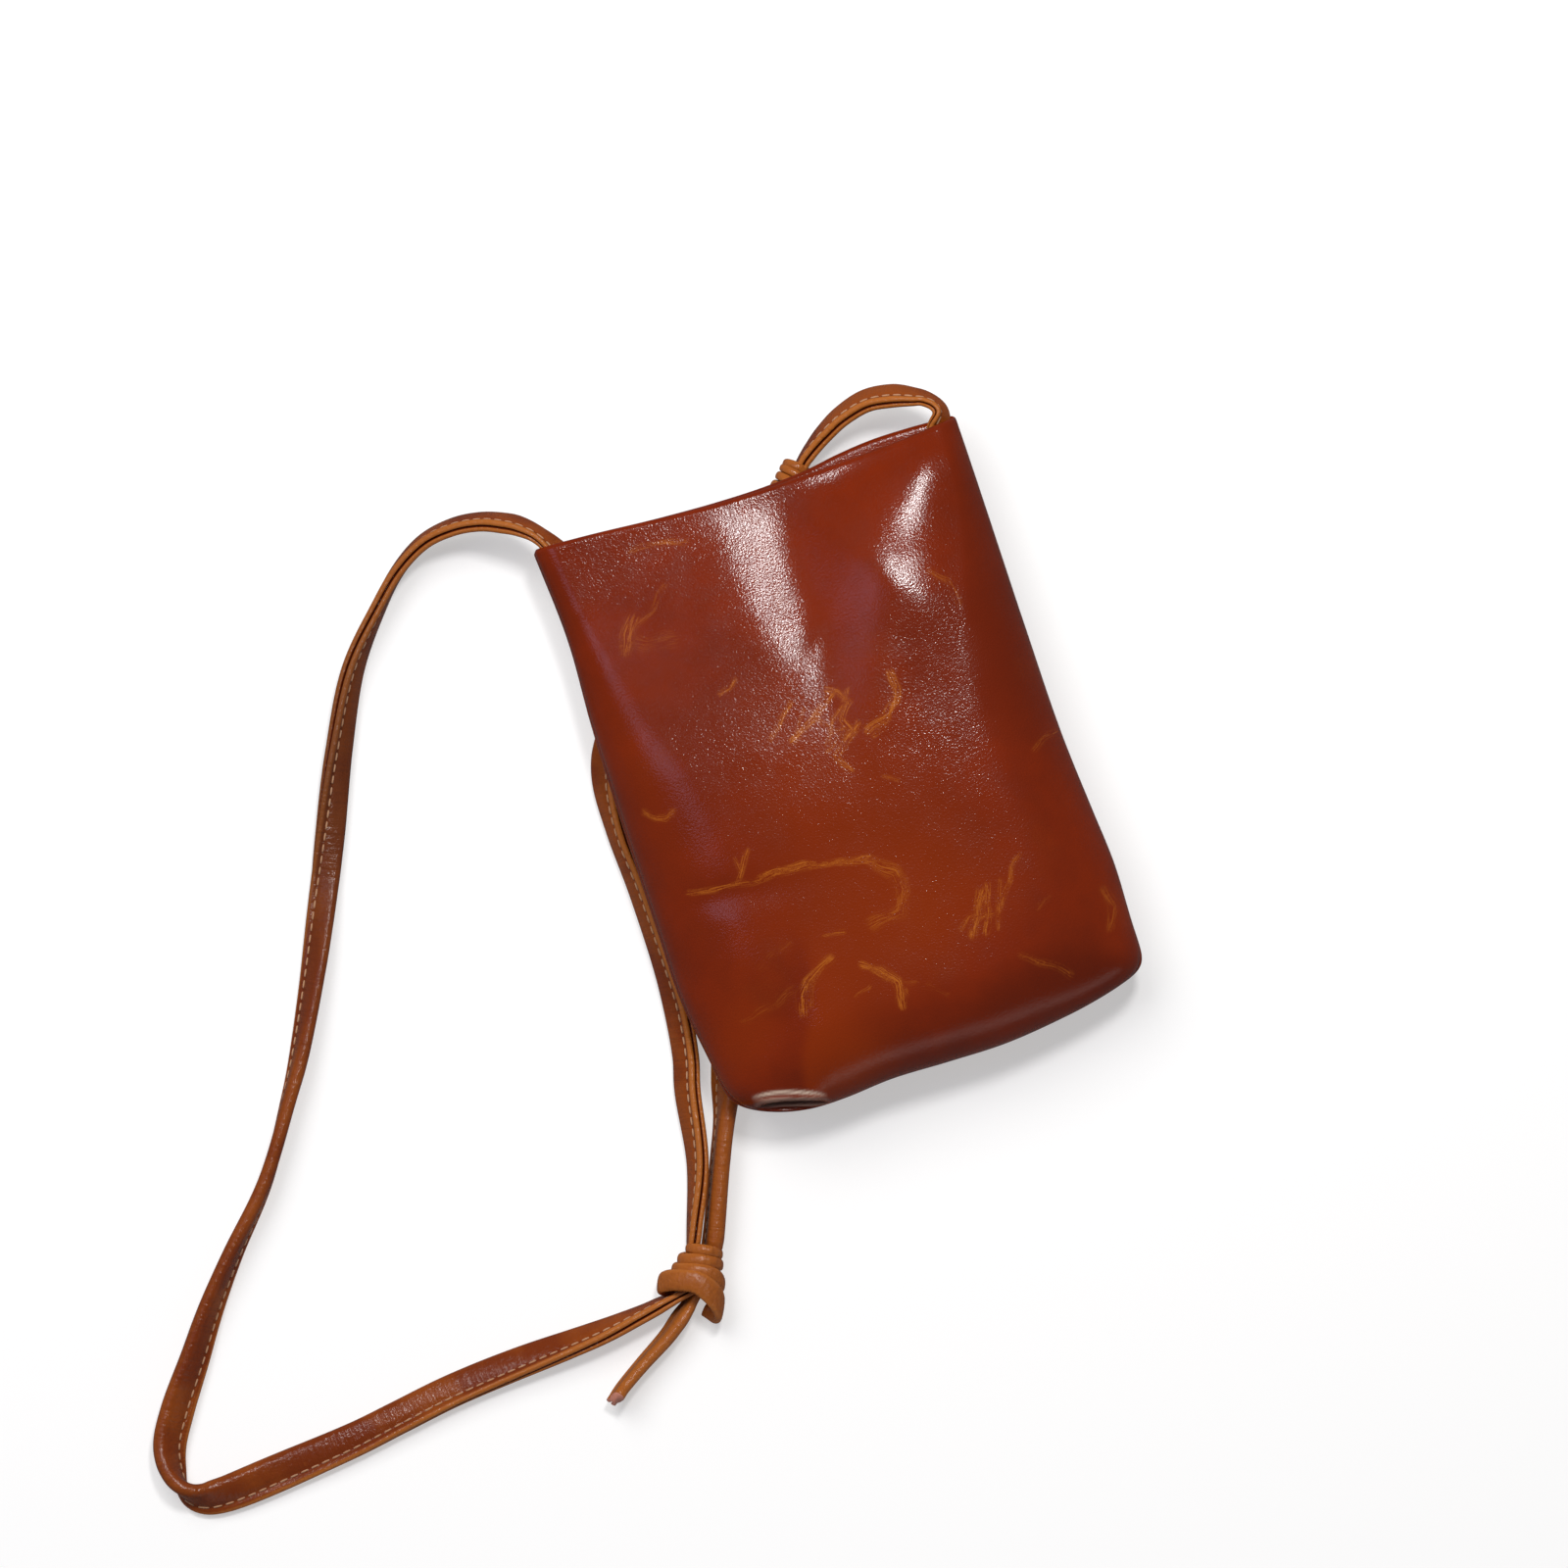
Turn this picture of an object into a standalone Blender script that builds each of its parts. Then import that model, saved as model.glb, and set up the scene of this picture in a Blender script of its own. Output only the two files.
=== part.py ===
"""A small leather crossbody purse lying on its back, with its strap laid out beside it.

The bag is two shaped leather panels joined by a turned seam round both sides and the bottom. The strap is
two leather cords, each fixed in one corner of the mouth and tied round the other with a sliding knot.
X runs across the bag, Y from its bottom to its mouth, and Z up from the surface that it lies on.
"""

import math

import bmesh
import bpy
import numpy as np
from mathutils import Vector

MM = 0.001

# The bag's outline, seen from the front.
HALF_WIDTH = 68 * MM
MOUTH_Y = 95.5 * MM
BOTTOM_Y = -95.5 * MM
BOTTOM_CORNER_LIFT = 11 * MM  # how much higher the bottom edge is at the sides than in the middle
BOTTOM_CURVE_POWER = 3.5

# The bag's thickness, above and below the plane of the seam.
SEAM_Z = 20.5 * MM
FRONT_RISE = 17.5 * MM
FRONT_CROWN = 3 * MM
BACK_DROP = SEAM_Z - 0.15 * MM  # its flat part lies on the table
MOUTH_HALF_DEPTH = 6.8 * MM
EDGE_RADIUS = 16 * MM  # how far from the outline a panel starts to curve towards the seam
MOUTH_EDGE_RADIUS = 6 * MM
FACING_Y = 70 * MM  # where the lining stops and the leather facing inside the mouth starts
FRONT_RAMP = (6 * MM, 68 * MM)  # the front thins between these two heights
BACK_RAMP = (8 * MM, 64 * MM)  # the back leaves the table between these two heights

# The back panel arches over the strap that runs underneath it.
STRAP_RUN = (Vector((-1, 66, 0)) * MM, Vector((-66, -80, 0)) * MM)
ARCH_HEIGHT = 5.4 * MM
ARCH_FLAT, ARCH_END = 7.5 * MM, 20 * MM

# Leather and lining, as depths below the outer surface.
PANEL = (0, 2.0 * MM)
LINING = (3.0 * MM, 3.8 * MM)
FACING = (3.0 * MM, 4.0 * MM)
GAP = 0.3 * MM
LINING_RIM = 0.99  # the lining and the facing stop this share of the way round the edge, short of the seam
THREAD_RADIUS = 0.35 * MM
THREAD_DEPTH = 2.6 * MM

# The strap: a folded strip with two rounded edges.
STRAP_WIDTH = 10.5 * MM
STRAP_THICKNESS = 4.5 * MM
STRAP_X = 58.3 * MM  # where it enters the mouth, left and right
ANCHOR_LENGTH = 21 * MM
STRAP_STEP = 9 * MM  # distance between the points of a strap's centreline
STRAP_END_STEP = 2.5 * MM  # and to the first and last of them
FINE_STEPS = 12  # samples of the smooth curve between two points of a route

# The magnetic snap in the middle of the mouth.
SNAP_Y = 80 * MM
SNAP_RADIUS = 7 * MM
SNAP_STUD_RADIUS, SNAP_STUD_TOP = 2.4 * MM, 0.8 * MM
SNAP_HOLE_RADIUS, SNAP_HOLE_TOP = 2.9 * MM, 1.5 * MM
WASHER_RADIUS, WASHER_THICKNESS = 8.5 * MM, 0.5 * MM

LEATHER = ("leather", (0.20, 0.026, 0.008), 0.3, 0.0)
STRAP_LEATHER = ("strap_leather", (0.33, 0.085, 0.014), 0.35, 0.0)
LINING_CLOTH = ("lining_cloth", (0.10, 0.045, 0.022), 0.9, 0.0)
THREAD = ("thread", (0.55, 0.30, 0.15), 0.7, 0.0)
SNAP_METAL = ("snap_metal", (0.62, 0.50, 0.28), 0.3, 1.0)


def clear_scene():
    for obj in list(bpy.data.objects):
        bpy.data.objects.remove(obj, do_unlink=True)


def material(look):
    name, colour, roughness, metallic = look
    found = bpy.data.materials.get(name)
    if found:
        return found
    made = bpy.data.materials.new(name)
    made.use_nodes = True
    shader = made.node_tree.nodes["Principled BSDF"]
    shader.inputs["Base Color"].default_value = (*colour, 1)
    shader.inputs["Roughness"].default_value = roughness
    shader.inputs["Metallic"].default_value = metallic
    return made


def add_object(name, data, look, parent=None):
    data.materials.append(material(look))
    obj = bpy.data.objects.new(name, data)
    bpy.context.scene.collection.objects.link(obj)
    if parent:
        obj.parent = parent
        obj.matrix_parent_inverse = parent.matrix_world.inverted()
    return obj


def add_mesh(name, points, faces, look, parent=None):
    """One closed mesh from points in world space, with its faces turned outwards."""
    mesh = bpy.data.meshes.new(name)
    mesh.from_pydata([tuple(p) for p in points], [], faces)
    bm = bmesh.new()
    bm.from_mesh(mesh)
    bmesh.ops.recalc_face_normals(bm, faces=bm.faces)
    bm.to_mesh(mesh)
    bm.free()
    mesh.shade_smooth()
    mesh.set_sharp_from_angle(angle=math.radians(50))
    return add_object(name, mesh, look, parent)


def joint_empty(name, place):
    """A moving body's parent, on its joint's axis."""
    empty = bpy.data.objects.new(name, None)
    empty.location = place
    bpy.context.scene.collection.objects.link(empty)
    bpy.context.view_layer.update()
    return empty


def smooth(value, low, high):
    """0 below low, 1 above high, and an even curve between."""
    share = min(1, max(0, (value - low) / (high - low)))
    return share * share * (3 - 2 * share)


# ---------------------------------------------------------------- the bag's surface


def bottom_edge(x):
    return BOTTOM_Y + BOTTOM_CORNER_LIFT * min(1, abs(x) / HALF_WIDTH) ** BOTTOM_CURVE_POWER


def edge_radius(y):
    return EDGE_RADIUS + (MOUTH_EDGE_RADIUS - EDGE_RADIUS) * smooth(y, 20 * MM, FACING_Y)


def distance_to_run(x, y):
    start, end = STRAP_RUN
    along = end - start
    share = (Vector((x, y, 0)) - start).dot(along) / along.length_squared
    return (Vector((x, y, 0)) - start - along * min(1, max(0, share))).length


def half_depth(is_front, x, y):
    """How far the panel stands from the seam's plane, away from its curved edge."""
    if is_front:
        thin = smooth(y, *FRONT_RAMP)
        crown = FRONT_CROWN * (1 - (x / HALF_WIDTH) ** 2) * (1 - thin)
        return FRONT_RISE + (MOUTH_HALF_DEPTH - FRONT_RISE) * thin + crown
    thin = smooth(y, *BACK_RAMP)
    arch = ARCH_HEIGHT * (1 - smooth(distance_to_run(x, y), ARCH_FLAT, ARCH_END)) * (1 - thin)
    return BACK_DROP + (MOUTH_HALF_DEPTH - BACK_DROP) * thin - arch


def rim_share(x, y):
    """0 on the flat of a panel and 1 on its outline."""
    radius = edge_radius(y)
    side = max(0, (abs(x) - HALF_WIDTH + radius) / radius)
    bottom = max(0, (bottom_edge(x) + EDGE_RADIUS - y) / EDGE_RADIUS)
    return math.hypot(side, bottom)


def level(is_front, x, y, z):
    """Zero on the panel's surface, with z measured from the seam's plane."""
    return (z / half_depth(is_front, x, y)) ** 2 + rim_share(x, y) ** 2 - 1


def outward(is_front, x, y, z):
    step = 0.05 * MM
    return Vector(
        (
            level(is_front, x + step, y, z) - level(is_front, x - step, y, z),
            level(is_front, x, y + step, z) - level(is_front, x, y - step, z),
            level(is_front, x, y, z + step) - level(is_front, x, y, z - step),
        )
    ).normalized()


def bag_point(is_front, side, bottom, across, up, depth):
    """A point of the bag, depth below its surface.

    side and bottom run from 0 on the flat to 1 on the outline; across and up place the flat part.
    """
    longest = max(side, bottom)
    if side > 0 and bottom > 0:
        shrink = longest / math.hypot(side, bottom)
        side, bottom = side * shrink, bottom * shrink
    y = up
    radius = edge_radius(y if bottom == 0 else BOTTOM_Y)
    x = across * (HALF_WIDTH - radius) + math.copysign(radius * side, across)
    if up is None:
        y = bottom_edge(x) + EDGE_RADIUS * (1 - bottom)
    height = half_depth(is_front, x, y) * math.sqrt(max(0, 1 - rim_share(x, y) ** 2))
    z = height if is_front else -height
    inner = Vector((x, y, z)) - outward(is_front, x, y, z) * depth
    middle = SEAM_Z + (GAP / 2 if is_front else -GAP / 2)
    return Vector((inner.x, min(inner.y, MOUTH_Y), inner.z + middle))


ROUNDING = [math.sin(math.radians(a)) for a in (62, 36, 15)]


def columns(count, rim):
    """(side, across) of each column, from the left edge to the right one."""
    left = [(rim, -1)] + [(share, -1) for share in ROUNDING]
    middle = [(0, -1 + 2 * i / count) for i in range(count + 1)]
    return left + middle + [(side, 1) for side, _ in reversed(left)]


def rows(low, high, count, rim):
    """(bottom, up) of each row; up is None in the rounding along the bottom."""
    bottom = []
    if low is None:
        bottom = [(rim, None)] + [(share, None) for share in ROUNDING]
        low = BOTTOM_Y + EDGE_RADIUS + BOTTOM_CORNER_LIFT * 0.45
    return bottom + [(0, low + (high - low) * i / count) for i in range(count + 1)]


def shell(name, is_front, column_list, row_list, depths, look, parent=None):
    """A layer of the bag between two depths, closed round its rim."""
    sheets = [
        [bag_point(is_front, side, bottom, across, up, depth) for side, across in column_list]
        for depth in depths
        for bottom, up in row_list
    ]
    wide, tall = len(column_list), len(row_list)
    points = [point for row in sheets for point in row]

    def index(sheet, row, column):
        return (sheet * tall + row) * wide + column

    faces = []
    for row in range(tall - 1):
        for column in range(wide - 1):
            for sheet in (0, 1):
                corners = [
                    index(sheet, row, column),
                    index(sheet, row, column + 1),
                    index(sheet, row + 1, column + 1),
                    index(sheet, row + 1, column),
                ]
                faces.append(corners if sheet == 0 else corners[::-1])
    rim = [(0, column) for column in range(wide)]
    rim += [(row, wide - 1) for row in range(1, tall)]
    rim += [(tall - 1, column) for column in range(wide - 2, -1, -1)]
    rim += [(row, 0) for row in range(tall - 2, 0, -1)]
    for here, there in zip(rim, rim[1:] + rim[:1]):
        faces.append([index(0, *here), index(0, *there), index(1, *there), index(1, *here)])
    return add_mesh(name, points, faces, look, parent)


def make_panels(front_hinge):
    for is_front, name, count, tall in ((True, "front", 10, 12), (False, "back", 18, 22)):
        parent = front_hinge if is_front else None
        edge = columns(count, 1)
        inside = columns(count, LINING_RIM)
        lining_rows = round(tall * (FACING_Y - BOTTOM_Y) / (MOUTH_Y - BOTTOM_Y))
        panel_rows = rows(None, FACING_Y, lining_rows, 1) + rows(FACING_Y, MOUTH_Y, 3, 1)[1:]
        shell(f"{name}_panel", is_front, edge, panel_rows, PANEL, LEATHER, parent)
        cloth = rows(None, FACING_Y - GAP / 2, lining_rows, LINING_RIM)
        shell(f"lining_{name}", is_front, inside, cloth, LINING, LINING_CLOTH, parent)
        facing = rows(FACING_Y + GAP / 2, MOUTH_Y - GAP, 3, LINING_RIM)
        shell(f"{name}_facing", is_front, inside, facing, FACING, LEATHER, parent)


# ---------------------------------------------------------------- threads, snap and strap ends


def add_tube(name, path, radius, look):
    """A round thread through the given points."""
    curve = bpy.data.curves.new(name, "CURVE")
    curve.dimensions = "3D"
    curve.bevel_depth = radius
    curve.bevel_resolution = 0
    curve.use_fill_caps = True
    spline = curve.splines.new("POLY")
    spline.points.add(len(path) - 1)
    for point, place in zip(spline.points, path):
        point.co = (*place, 1)
    return add_object(name, curve, look)


def seam_point(x, y):
    """A point of the seam's thread, just inside the place (x, y) on the outline."""
    inside = Vector((x, y, 0)) - outward(False, x, y, 0) * THREAD_DEPTH
    return Vector((inside.x, inside.y, SEAM_Z))


def make_seam_threads():
    low, high = bottom_edge(HALF_WIDTH) + EDGE_RADIUS, MOUTH_Y - 2 * MM
    heights = [low + (high - low) * i / 12 for i in range(13)]
    for name, sign in (("left", -1), ("right", 1)):
        path = [seam_point(sign * HALF_WIDTH, y) for y in heights]
        add_tube(f"side_seam_thread_{name}", path, THREAD_RADIUS, THREAD)
    half = HALF_WIDTH - EDGE_RADIUS
    across = [half * (-1 + i / 8) for i in range(17)]
    path = [seam_point(x, bottom_edge(x)) for x in across]
    add_tube("bottom_seam_thread", path, THREAD_RADIUS, THREAD)


def turned(name, place, profile, look, parent=None, sides=20):
    """A round piece about the Z axis through place, from (radius, height) pairs that start and end on it."""
    points, faces, rings = [], [], []
    for radius, height in profile:
        if radius == 0:
            rings.append([len(points)] * sides)
            points.append((place.x, place.y, place.z + height))
            continue
        rings.append(list(range(len(points), len(points) + sides)))
        for i in range(sides):
            turn = math.tau * i / sides
            points.append(
                (place.x + radius * math.cos(turn), place.y + radius * math.sin(turn), place.z + height)
            )
    for lower, upper in zip(rings, rings[1:]):
        for i in range(sides):
            j = (i + 1) % sides
            corners = [lower[i], lower[j], upper[j], upper[i]]
            faces.append(list(dict.fromkeys(corners)))
    return add_mesh(name, points, faces, look, parent)


def make_snap(front_hinge):
    """A magnetic snap: a stud on the back that enters a socket on the front, each held by a washer."""
    inside = MOUTH_HALF_DEPTH + GAP / 2
    face = inside - FACING[1] - GAP  # from the seam's plane to the outer side of each half
    middle = Vector((0, SNAP_Y, SEAM_Z))
    stud = [(0, -face), (SNAP_RADIUS, -face), (SNAP_RADIUS, -GAP)]
    stud += [(SNAP_STUD_RADIUS, -GAP), (SNAP_STUD_RADIUS, SNAP_STUD_TOP), (0, SNAP_STUD_TOP)]
    turned("snap_stud", middle, stud, SNAP_METAL)
    rim = GAP / 3
    socket = [(0, face), (SNAP_RADIUS, face), (SNAP_RADIUS, rim)]
    socket += [(SNAP_HOLE_RADIUS, rim), (SNAP_HOLE_RADIUS, SNAP_HOLE_TOP), (0, SNAP_HOLE_TOP)]
    turned("snap_socket", middle, socket, SNAP_METAL, front_hinge)
    space = (inside - PANEL[1] + inside - FACING[0]) / 2  # a washer lies between its panel and facing
    for name, sign, parent in (("stud_washer", -1, None), ("socket_washer", 1, front_hinge)):
        low = sign * space - WASHER_THICKNESS / 2
        high = sign * space + WASHER_THICKNESS / 2
        ring = [(0, low), (WASHER_RADIUS, low), (WASHER_RADIUS, high), (0, high)]
        turned(name, middle, ring, SNAP_METAL, parent)


def smooth_route(route):
    """Points along a smooth curve through the route's own, as (x, y, z, roll), with one near each end."""
    points = [Vector((x * MM, y * MM, z * MM, math.radians(roll))) for x, y, z, roll in route]
    ends = [points[0] * 2 - points[1]] + points + [points[-1] * 2 - points[-2]]
    fine = []
    for before, start, end, after in zip(ends, ends[1:], ends[2:], ends[3:]):
        for i in range(FINE_STEPS):
            t = i / FINE_STEPS
            fine.append(
                0.5
                * (
                    2 * start
                    + (end - before) * t
                    + (2 * before - 5 * start + 4 * end - after) * t**2
                    + (3 * start - before - 3 * end + after) * t**3
                )
            )
    fine.append(points[-1])
    length = [0]
    for here, there in zip(fine, fine[1:]):
        length.append(length[-1] + (there.xyz - here.xyz).length)
    total = length[-1]
    count = max(1, round((total - 2 * STRAP_END_STEP) / STRAP_STEP))
    wanted = np.linspace(STRAP_END_STEP, total - STRAP_END_STEP, count + 1)
    table = np.array([tuple(p) for p in fine])
    path = []
    for distance in (0, *wanted, total):
        x, y, lift, roll = (np.interp(distance, length, table[:, i]) for i in range(4))
        half_height = (STRAP_THICKNESS + (STRAP_WIDTH - STRAP_THICKNESS) * abs(math.sin(roll))) / 2
        path.append((x, y, lift + half_height, roll))
    return path


def strap_curve(name, path, parent=None):
    """A stretch of strap through (x, y, z, roll) points, roll 0 being flat."""
    curve = bpy.data.curves.new(name, "CURVE")
    curve.dimensions = "3D"
    curve.twist_mode = "Z_UP"
    curve.extrude = (STRAP_WIDTH - STRAP_THICKNESS) / 2
    curve.bevel_depth = STRAP_THICKNESS / 2
    curve.bevel_resolution = 2
    curve.use_fill_caps = True
    spline = curve.splines.new("POLY")
    spline.points.add(len(path) - 1)
    for point, (x, y, z, roll) in zip(spline.points, path):
        point.co = (x, y, z, 1)
        point.tilt = roll - math.radians(90)
    return add_object(name, curve, STRAP_LEATHER, parent)


# Each stretch of strap as (x, y, lift, roll) in millimetres and degrees, from the mouth's corner outwards.
# Lift is the height of its lowest edge. Roll 0 and 180 lay it flat, 90 and 270 stand it on its edge.
LONG_LOOP = [
    (-58.3, 95.8, 18.2, 0), (-58.4, 98.8, 18.1, 4), (-60.6, 103, 17.3, 18), (-65.5, 106.8, 16, 42),
    (-72, 109.6, 13.6, 60), (-80, 111.6, 10.4, 70), (-90, 112.6, 6.9, 74), (-100.5, 111.3, 3.8, 80),
    (-110.5, 106, 1.5, 88), (-119.5, 97, 0.4, 97), (-133.5, 81, 0.2, 118), (-147, 58.5, 0.2, 128),
    (-158, 35.5, 0.2, 135), (-167, 17, 0.2, 142), (-177.5, -4, 0.2, 160), (-189, -25, 0.2, 195),
    (-198, -39, 0.2, 222), (-213, -60.5, 0.2, 258), (-230, -78.5, 0.2, 285), (-241.5, -92, 0.2, 303),
    (-251.5, -105.5, 0.2, 318), (-262.5, -119, 0.2, 325), (-268.5, -129.5, 0.2, 305),
    (-269, -139.5, 0.2, 265), (-264, -145.5, 0.2, 225), (-256, -147.8, 0.2, 200), (-240, -147.5, 0.2, 182),
    (-215, -146, 0.2, 172), (-198, -143.8, 0.2, 165), (-180, -141.5, 0.2, 160), (-159, -140.2, 0.2, 150),
    (-132, -139.6, 0.2, 122), (-117, -138.6, 0.2, 102), (-108.4, -137.6, 0.2, 95),
]
LONG_RETURN = [
    (-93.7, -123.6, 0.2, 94), (-91.3, -118, 0.2, 98), (-83.4, -99.6, 0.2, 112), (-79.2, -78.2, 0.2, 122),
    (-76.6, -67, 0.2, 128), (-74.3, -52.5, 0.2, 128), (-73.3, -37, 0.2, 120), (-73, -14, 0.2, 116),
    (-74, 8, 0.2, 114), (-72.9, 25.5, 0.2, 130), (-68, 38, 0.2, 155), (-55, 48.5, 0.2, 176),
    (-35, 60.5, 0.2, 178), (-15, 73, 0.2, 150), (-2.6, 81.2, 0.4, 110),
]
SHORT_LOOP = [
    (58.3, 95.8, 18.2, 0), (58.4, 98.8, 18.1, 6), (58.6, 102.4, 17.1, 28), (54.4, 105.8, 14, 48),
    (44.7, 107.8, 11, 50), (35.2, 106.8, 7.8, 50), (28.2, 103.2, 5, 48), (22.6, 99.8, 2.9, 40),
    (19, 97.5, 2.3, 32),
]
SHORT_RUN = [
    (4.6, 77, 0.4, 110), (-1.2, 66, 0.3, 150), (-10, 46, 0.2, 178), (-25, 12, 0.2, 180),
    (-40, -22, 0.2, 180), (-55, -56, 0.2, 181), (-60.2, -67.5, 0.2, 188), (-65, -78, 0.2, 204),
    (-70.3, -89, 0.2, 230), (-77.2, -102.5, 0.2, 256), (-85.7, -120.6, 0.2, 268), (-88.1, -125.8, 0.2, 270),
]
LOWER_TAIL = [
    (-105.4, -145.2, 0.8, 240), (-114.7, -151.4, 0.6, 238), (-125.6, -157.6, 0.4, 232),
    (-132, -160.5, 0.4, 230),
]
UPPER_TAIL = [(20, 79.4, 1.6, 20), (26, 75.6, 0.9, 10), (33, 72, 0.3, 0)]

# Each sliding knot: its middle, the direction it slides in along the strap, and its size.
LOWER_KNOT = (Vector((-95.5, -135.5, 7.8)) * MM, Vector((0.40, 0.917, 0)), Vector((22, 20, 15)) * MM)
UPPER_KNOT = (Vector((10.4, 87.6, 6.8)) * MM, Vector((0.65, 0.76, 0)), Vector((22, 20, 13)) * MM)


def make_knot(name, knot, parent):
    """The wraps of a sliding knot as a barrel with three swellings."""
    middle, along, size = knot
    across = Vector((0, 0, 1)).cross(along)
    stations, sides = 13, 16
    points = []
    for i in range(stations):
        share = -1 + 2 * i / (stations - 1)
        swell = 0.93 + 0.07 * abs(math.sin(1.5 * math.pi * (share + 1)))
        reach = swell * (1 - 0.45 * abs(share) ** 5)
        for j in range(sides):
            turn = math.tau * j / sides
            flat = 1 / max(abs(math.cos(turn)), abs(math.sin(turn))) ** 0.35
            wide = math.cos(turn) * flat * min(1, reach) * size.y / 2
            tall = math.sin(turn) * flat * min(1, reach) * size.z / 2
            points.append(middle + along * share * size.x / 2 + across * wide + Vector((0, 0, tall)))
    faces = []
    for start in range(0, (stations - 1) * sides, sides):
        for j in range(sides):
            k = (j + 1) % sides
            faces.append([start + j, start + k, start + sides + k, start + sides + j])
    faces.append(list(range(sides)))
    faces.append(list(range((stations - 1) * sides, stations * sides)))
    return add_mesh(name, points, faces, STRAP_LEATHER, parent)


def make_anchor(name, sign):
    """The end of a strap, sewn flat inside the corner of the mouth."""
    path = [(sign * STRAP_X, y, SEAM_Z, 0) for y in (MOUTH_Y - ANCHOR_LENGTH, MOUTH_Y - GAP)]
    strap_curve(name, path)


def make_straps():
    for name, route in (
        ("strap_long_loop", LONG_LOOP),
        ("strap_long_return", LONG_RETURN),
        ("strap_short_loop", SHORT_LOOP),
        ("strap_short_run", SHORT_RUN),
    ):
        strap_curve(name, smooth_route(route))
    make_anchor("strap_anchor_left", -1)
    make_anchor("strap_anchor_right", 1)


def make_knots():
    for name, knot, tail in (("lower", LOWER_KNOT, LOWER_TAIL), ("upper", UPPER_KNOT, UPPER_TAIL)):
        slide = joint_empty(f"{name}_knot_slide", knot[0])
        make_knot(f"knot_{name}", knot, slide)
        strap_curve(f"tail_{name}", smooth_route(tail), slide)


def main():
    clear_scene()
    front_hinge = joint_empty("front_hinge", (0, BOTTOM_Y, SEAM_Z))
    make_panels(front_hinge)
    make_snap(front_hinge)
    make_seam_threads()
    make_straps()
    make_knots()


main()
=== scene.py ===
"""The looks of a small leather crossbody purse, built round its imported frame.

The bag lies on its back: X runs across it, Y from its bottom to its mouth, and Z up. Lengths are in metres.
Tables of places on the bag, and numbers that are multiplied by MM, are in millimetres. Each panel is a grid
of points on one shape function, so leather, facing and lining follow each other. The strap is a swept folded
strip.
"""

import math

import bpy
import numpy as np
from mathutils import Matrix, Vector


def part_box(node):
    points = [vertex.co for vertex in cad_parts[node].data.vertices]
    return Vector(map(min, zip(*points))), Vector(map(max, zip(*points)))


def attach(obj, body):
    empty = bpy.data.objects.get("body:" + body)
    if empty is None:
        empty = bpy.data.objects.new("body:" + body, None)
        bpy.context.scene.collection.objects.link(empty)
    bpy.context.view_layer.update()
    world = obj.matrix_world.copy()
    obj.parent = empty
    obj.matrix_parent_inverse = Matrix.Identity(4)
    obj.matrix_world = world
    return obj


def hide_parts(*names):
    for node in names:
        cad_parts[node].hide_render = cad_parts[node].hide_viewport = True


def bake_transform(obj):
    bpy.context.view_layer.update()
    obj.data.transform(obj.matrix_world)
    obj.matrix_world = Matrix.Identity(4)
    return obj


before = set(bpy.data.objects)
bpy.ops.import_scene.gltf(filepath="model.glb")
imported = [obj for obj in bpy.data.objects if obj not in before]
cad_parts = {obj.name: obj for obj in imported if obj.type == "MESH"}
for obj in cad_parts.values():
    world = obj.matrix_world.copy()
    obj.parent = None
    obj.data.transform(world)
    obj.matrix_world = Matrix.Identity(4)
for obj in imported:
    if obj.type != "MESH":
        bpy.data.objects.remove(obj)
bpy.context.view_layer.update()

MM = 0.001
FRONT_LOW, FRONT_HIGH = (np.array(corner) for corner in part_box("front_panel"))
BACK_LOW, BACK_HIGH = (np.array(corner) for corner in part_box("back_panel"))

# ---------------------------------------------------------------- sizes, from the frame and by choice

HALF_WIDTH = FRONT_HIGH[0]
BOTTOM_Y, MOUTH_Y = FRONT_LOW[1], FRONT_HIGH[1]
SEAM_Z = (FRONT_LOW[2] + BACK_HIGH[2]) / 2
SEAM_GAP = 0.15 * MM  # between each panel and the seam's plane
CROWN = 3 * MM  # how much higher the front's middle stands than its sides
FRONT_RISE = FRONT_HIGH[2] - SEAM_Z - CROWN
BACK_DROP = SEAM_Z - BACK_LOW[2] - SEAM_GAP
MOUTH_HALF_DEPTH = 6.8 * MM
LEAST_HALF_DEPTH = 6.6 * MM  # of the front near its mouth, where the strap's ends and the lining need room
BOTTOM_CORNER_LIFT = 11 * MM
CORNER_POWER = 9  # how square the bag's bottom corners are in plan
SEAM_LIP = 1.0 * MM  # how far the turned edge sinks in beside the seam
LIP_HEIGHT = 1.3 * MM
ALLOWANCE = 4 * MM  # how far the leather turns in at the seams
LEATHER = 1.4 * MM
HEM_DEPTH = 12 * MM
HEM_THICKNESS = 2.9 * MM
FACING_LOW, FACING_DEPTHS = 70 * MM, (3.0 * MM, 3.9 * MM)  # its lower edge, and how far inside its faces lie
LINING_TOP, LINING_DEPTHS = 69.6 * MM, (2.4 * MM, 2.9 * MM)
GRID = 0.75 * MM  # distance between the points of the leather's grid
FACING_GRID = 1.6 * MM

STRAP_WIDTH, STRAP_THICKNESS = 10.5 * MM, 4.5 * MM
STITCH_PITCH, STITCH_LENGTH, STITCH_RADIUS = 3.6 * MM, 2.5 * MM, 0.27 * MM
STITCH_LINE = 2.5 * MM  # from the strap's middle towards its open edge
STITCH_HEIGHT = 1.58 * MM  # of a stitch's middle over the strip's middle plane
PATH_STEP = 0.9  # millimetres between the sections of the strap
FLOOR_CLEARANCE = 0.1 * MM

VIEW_TURN = math.radians(19.3)  # how far the bag is turned in the picture
VIEW_WIDTH = 488 * MM
VIEW_CENTRE = (-19.4 * MM, 3.0 * MM)
CAMERA_HEIGHT = 2.5
FLOOR_HALF = 6.0


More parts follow.
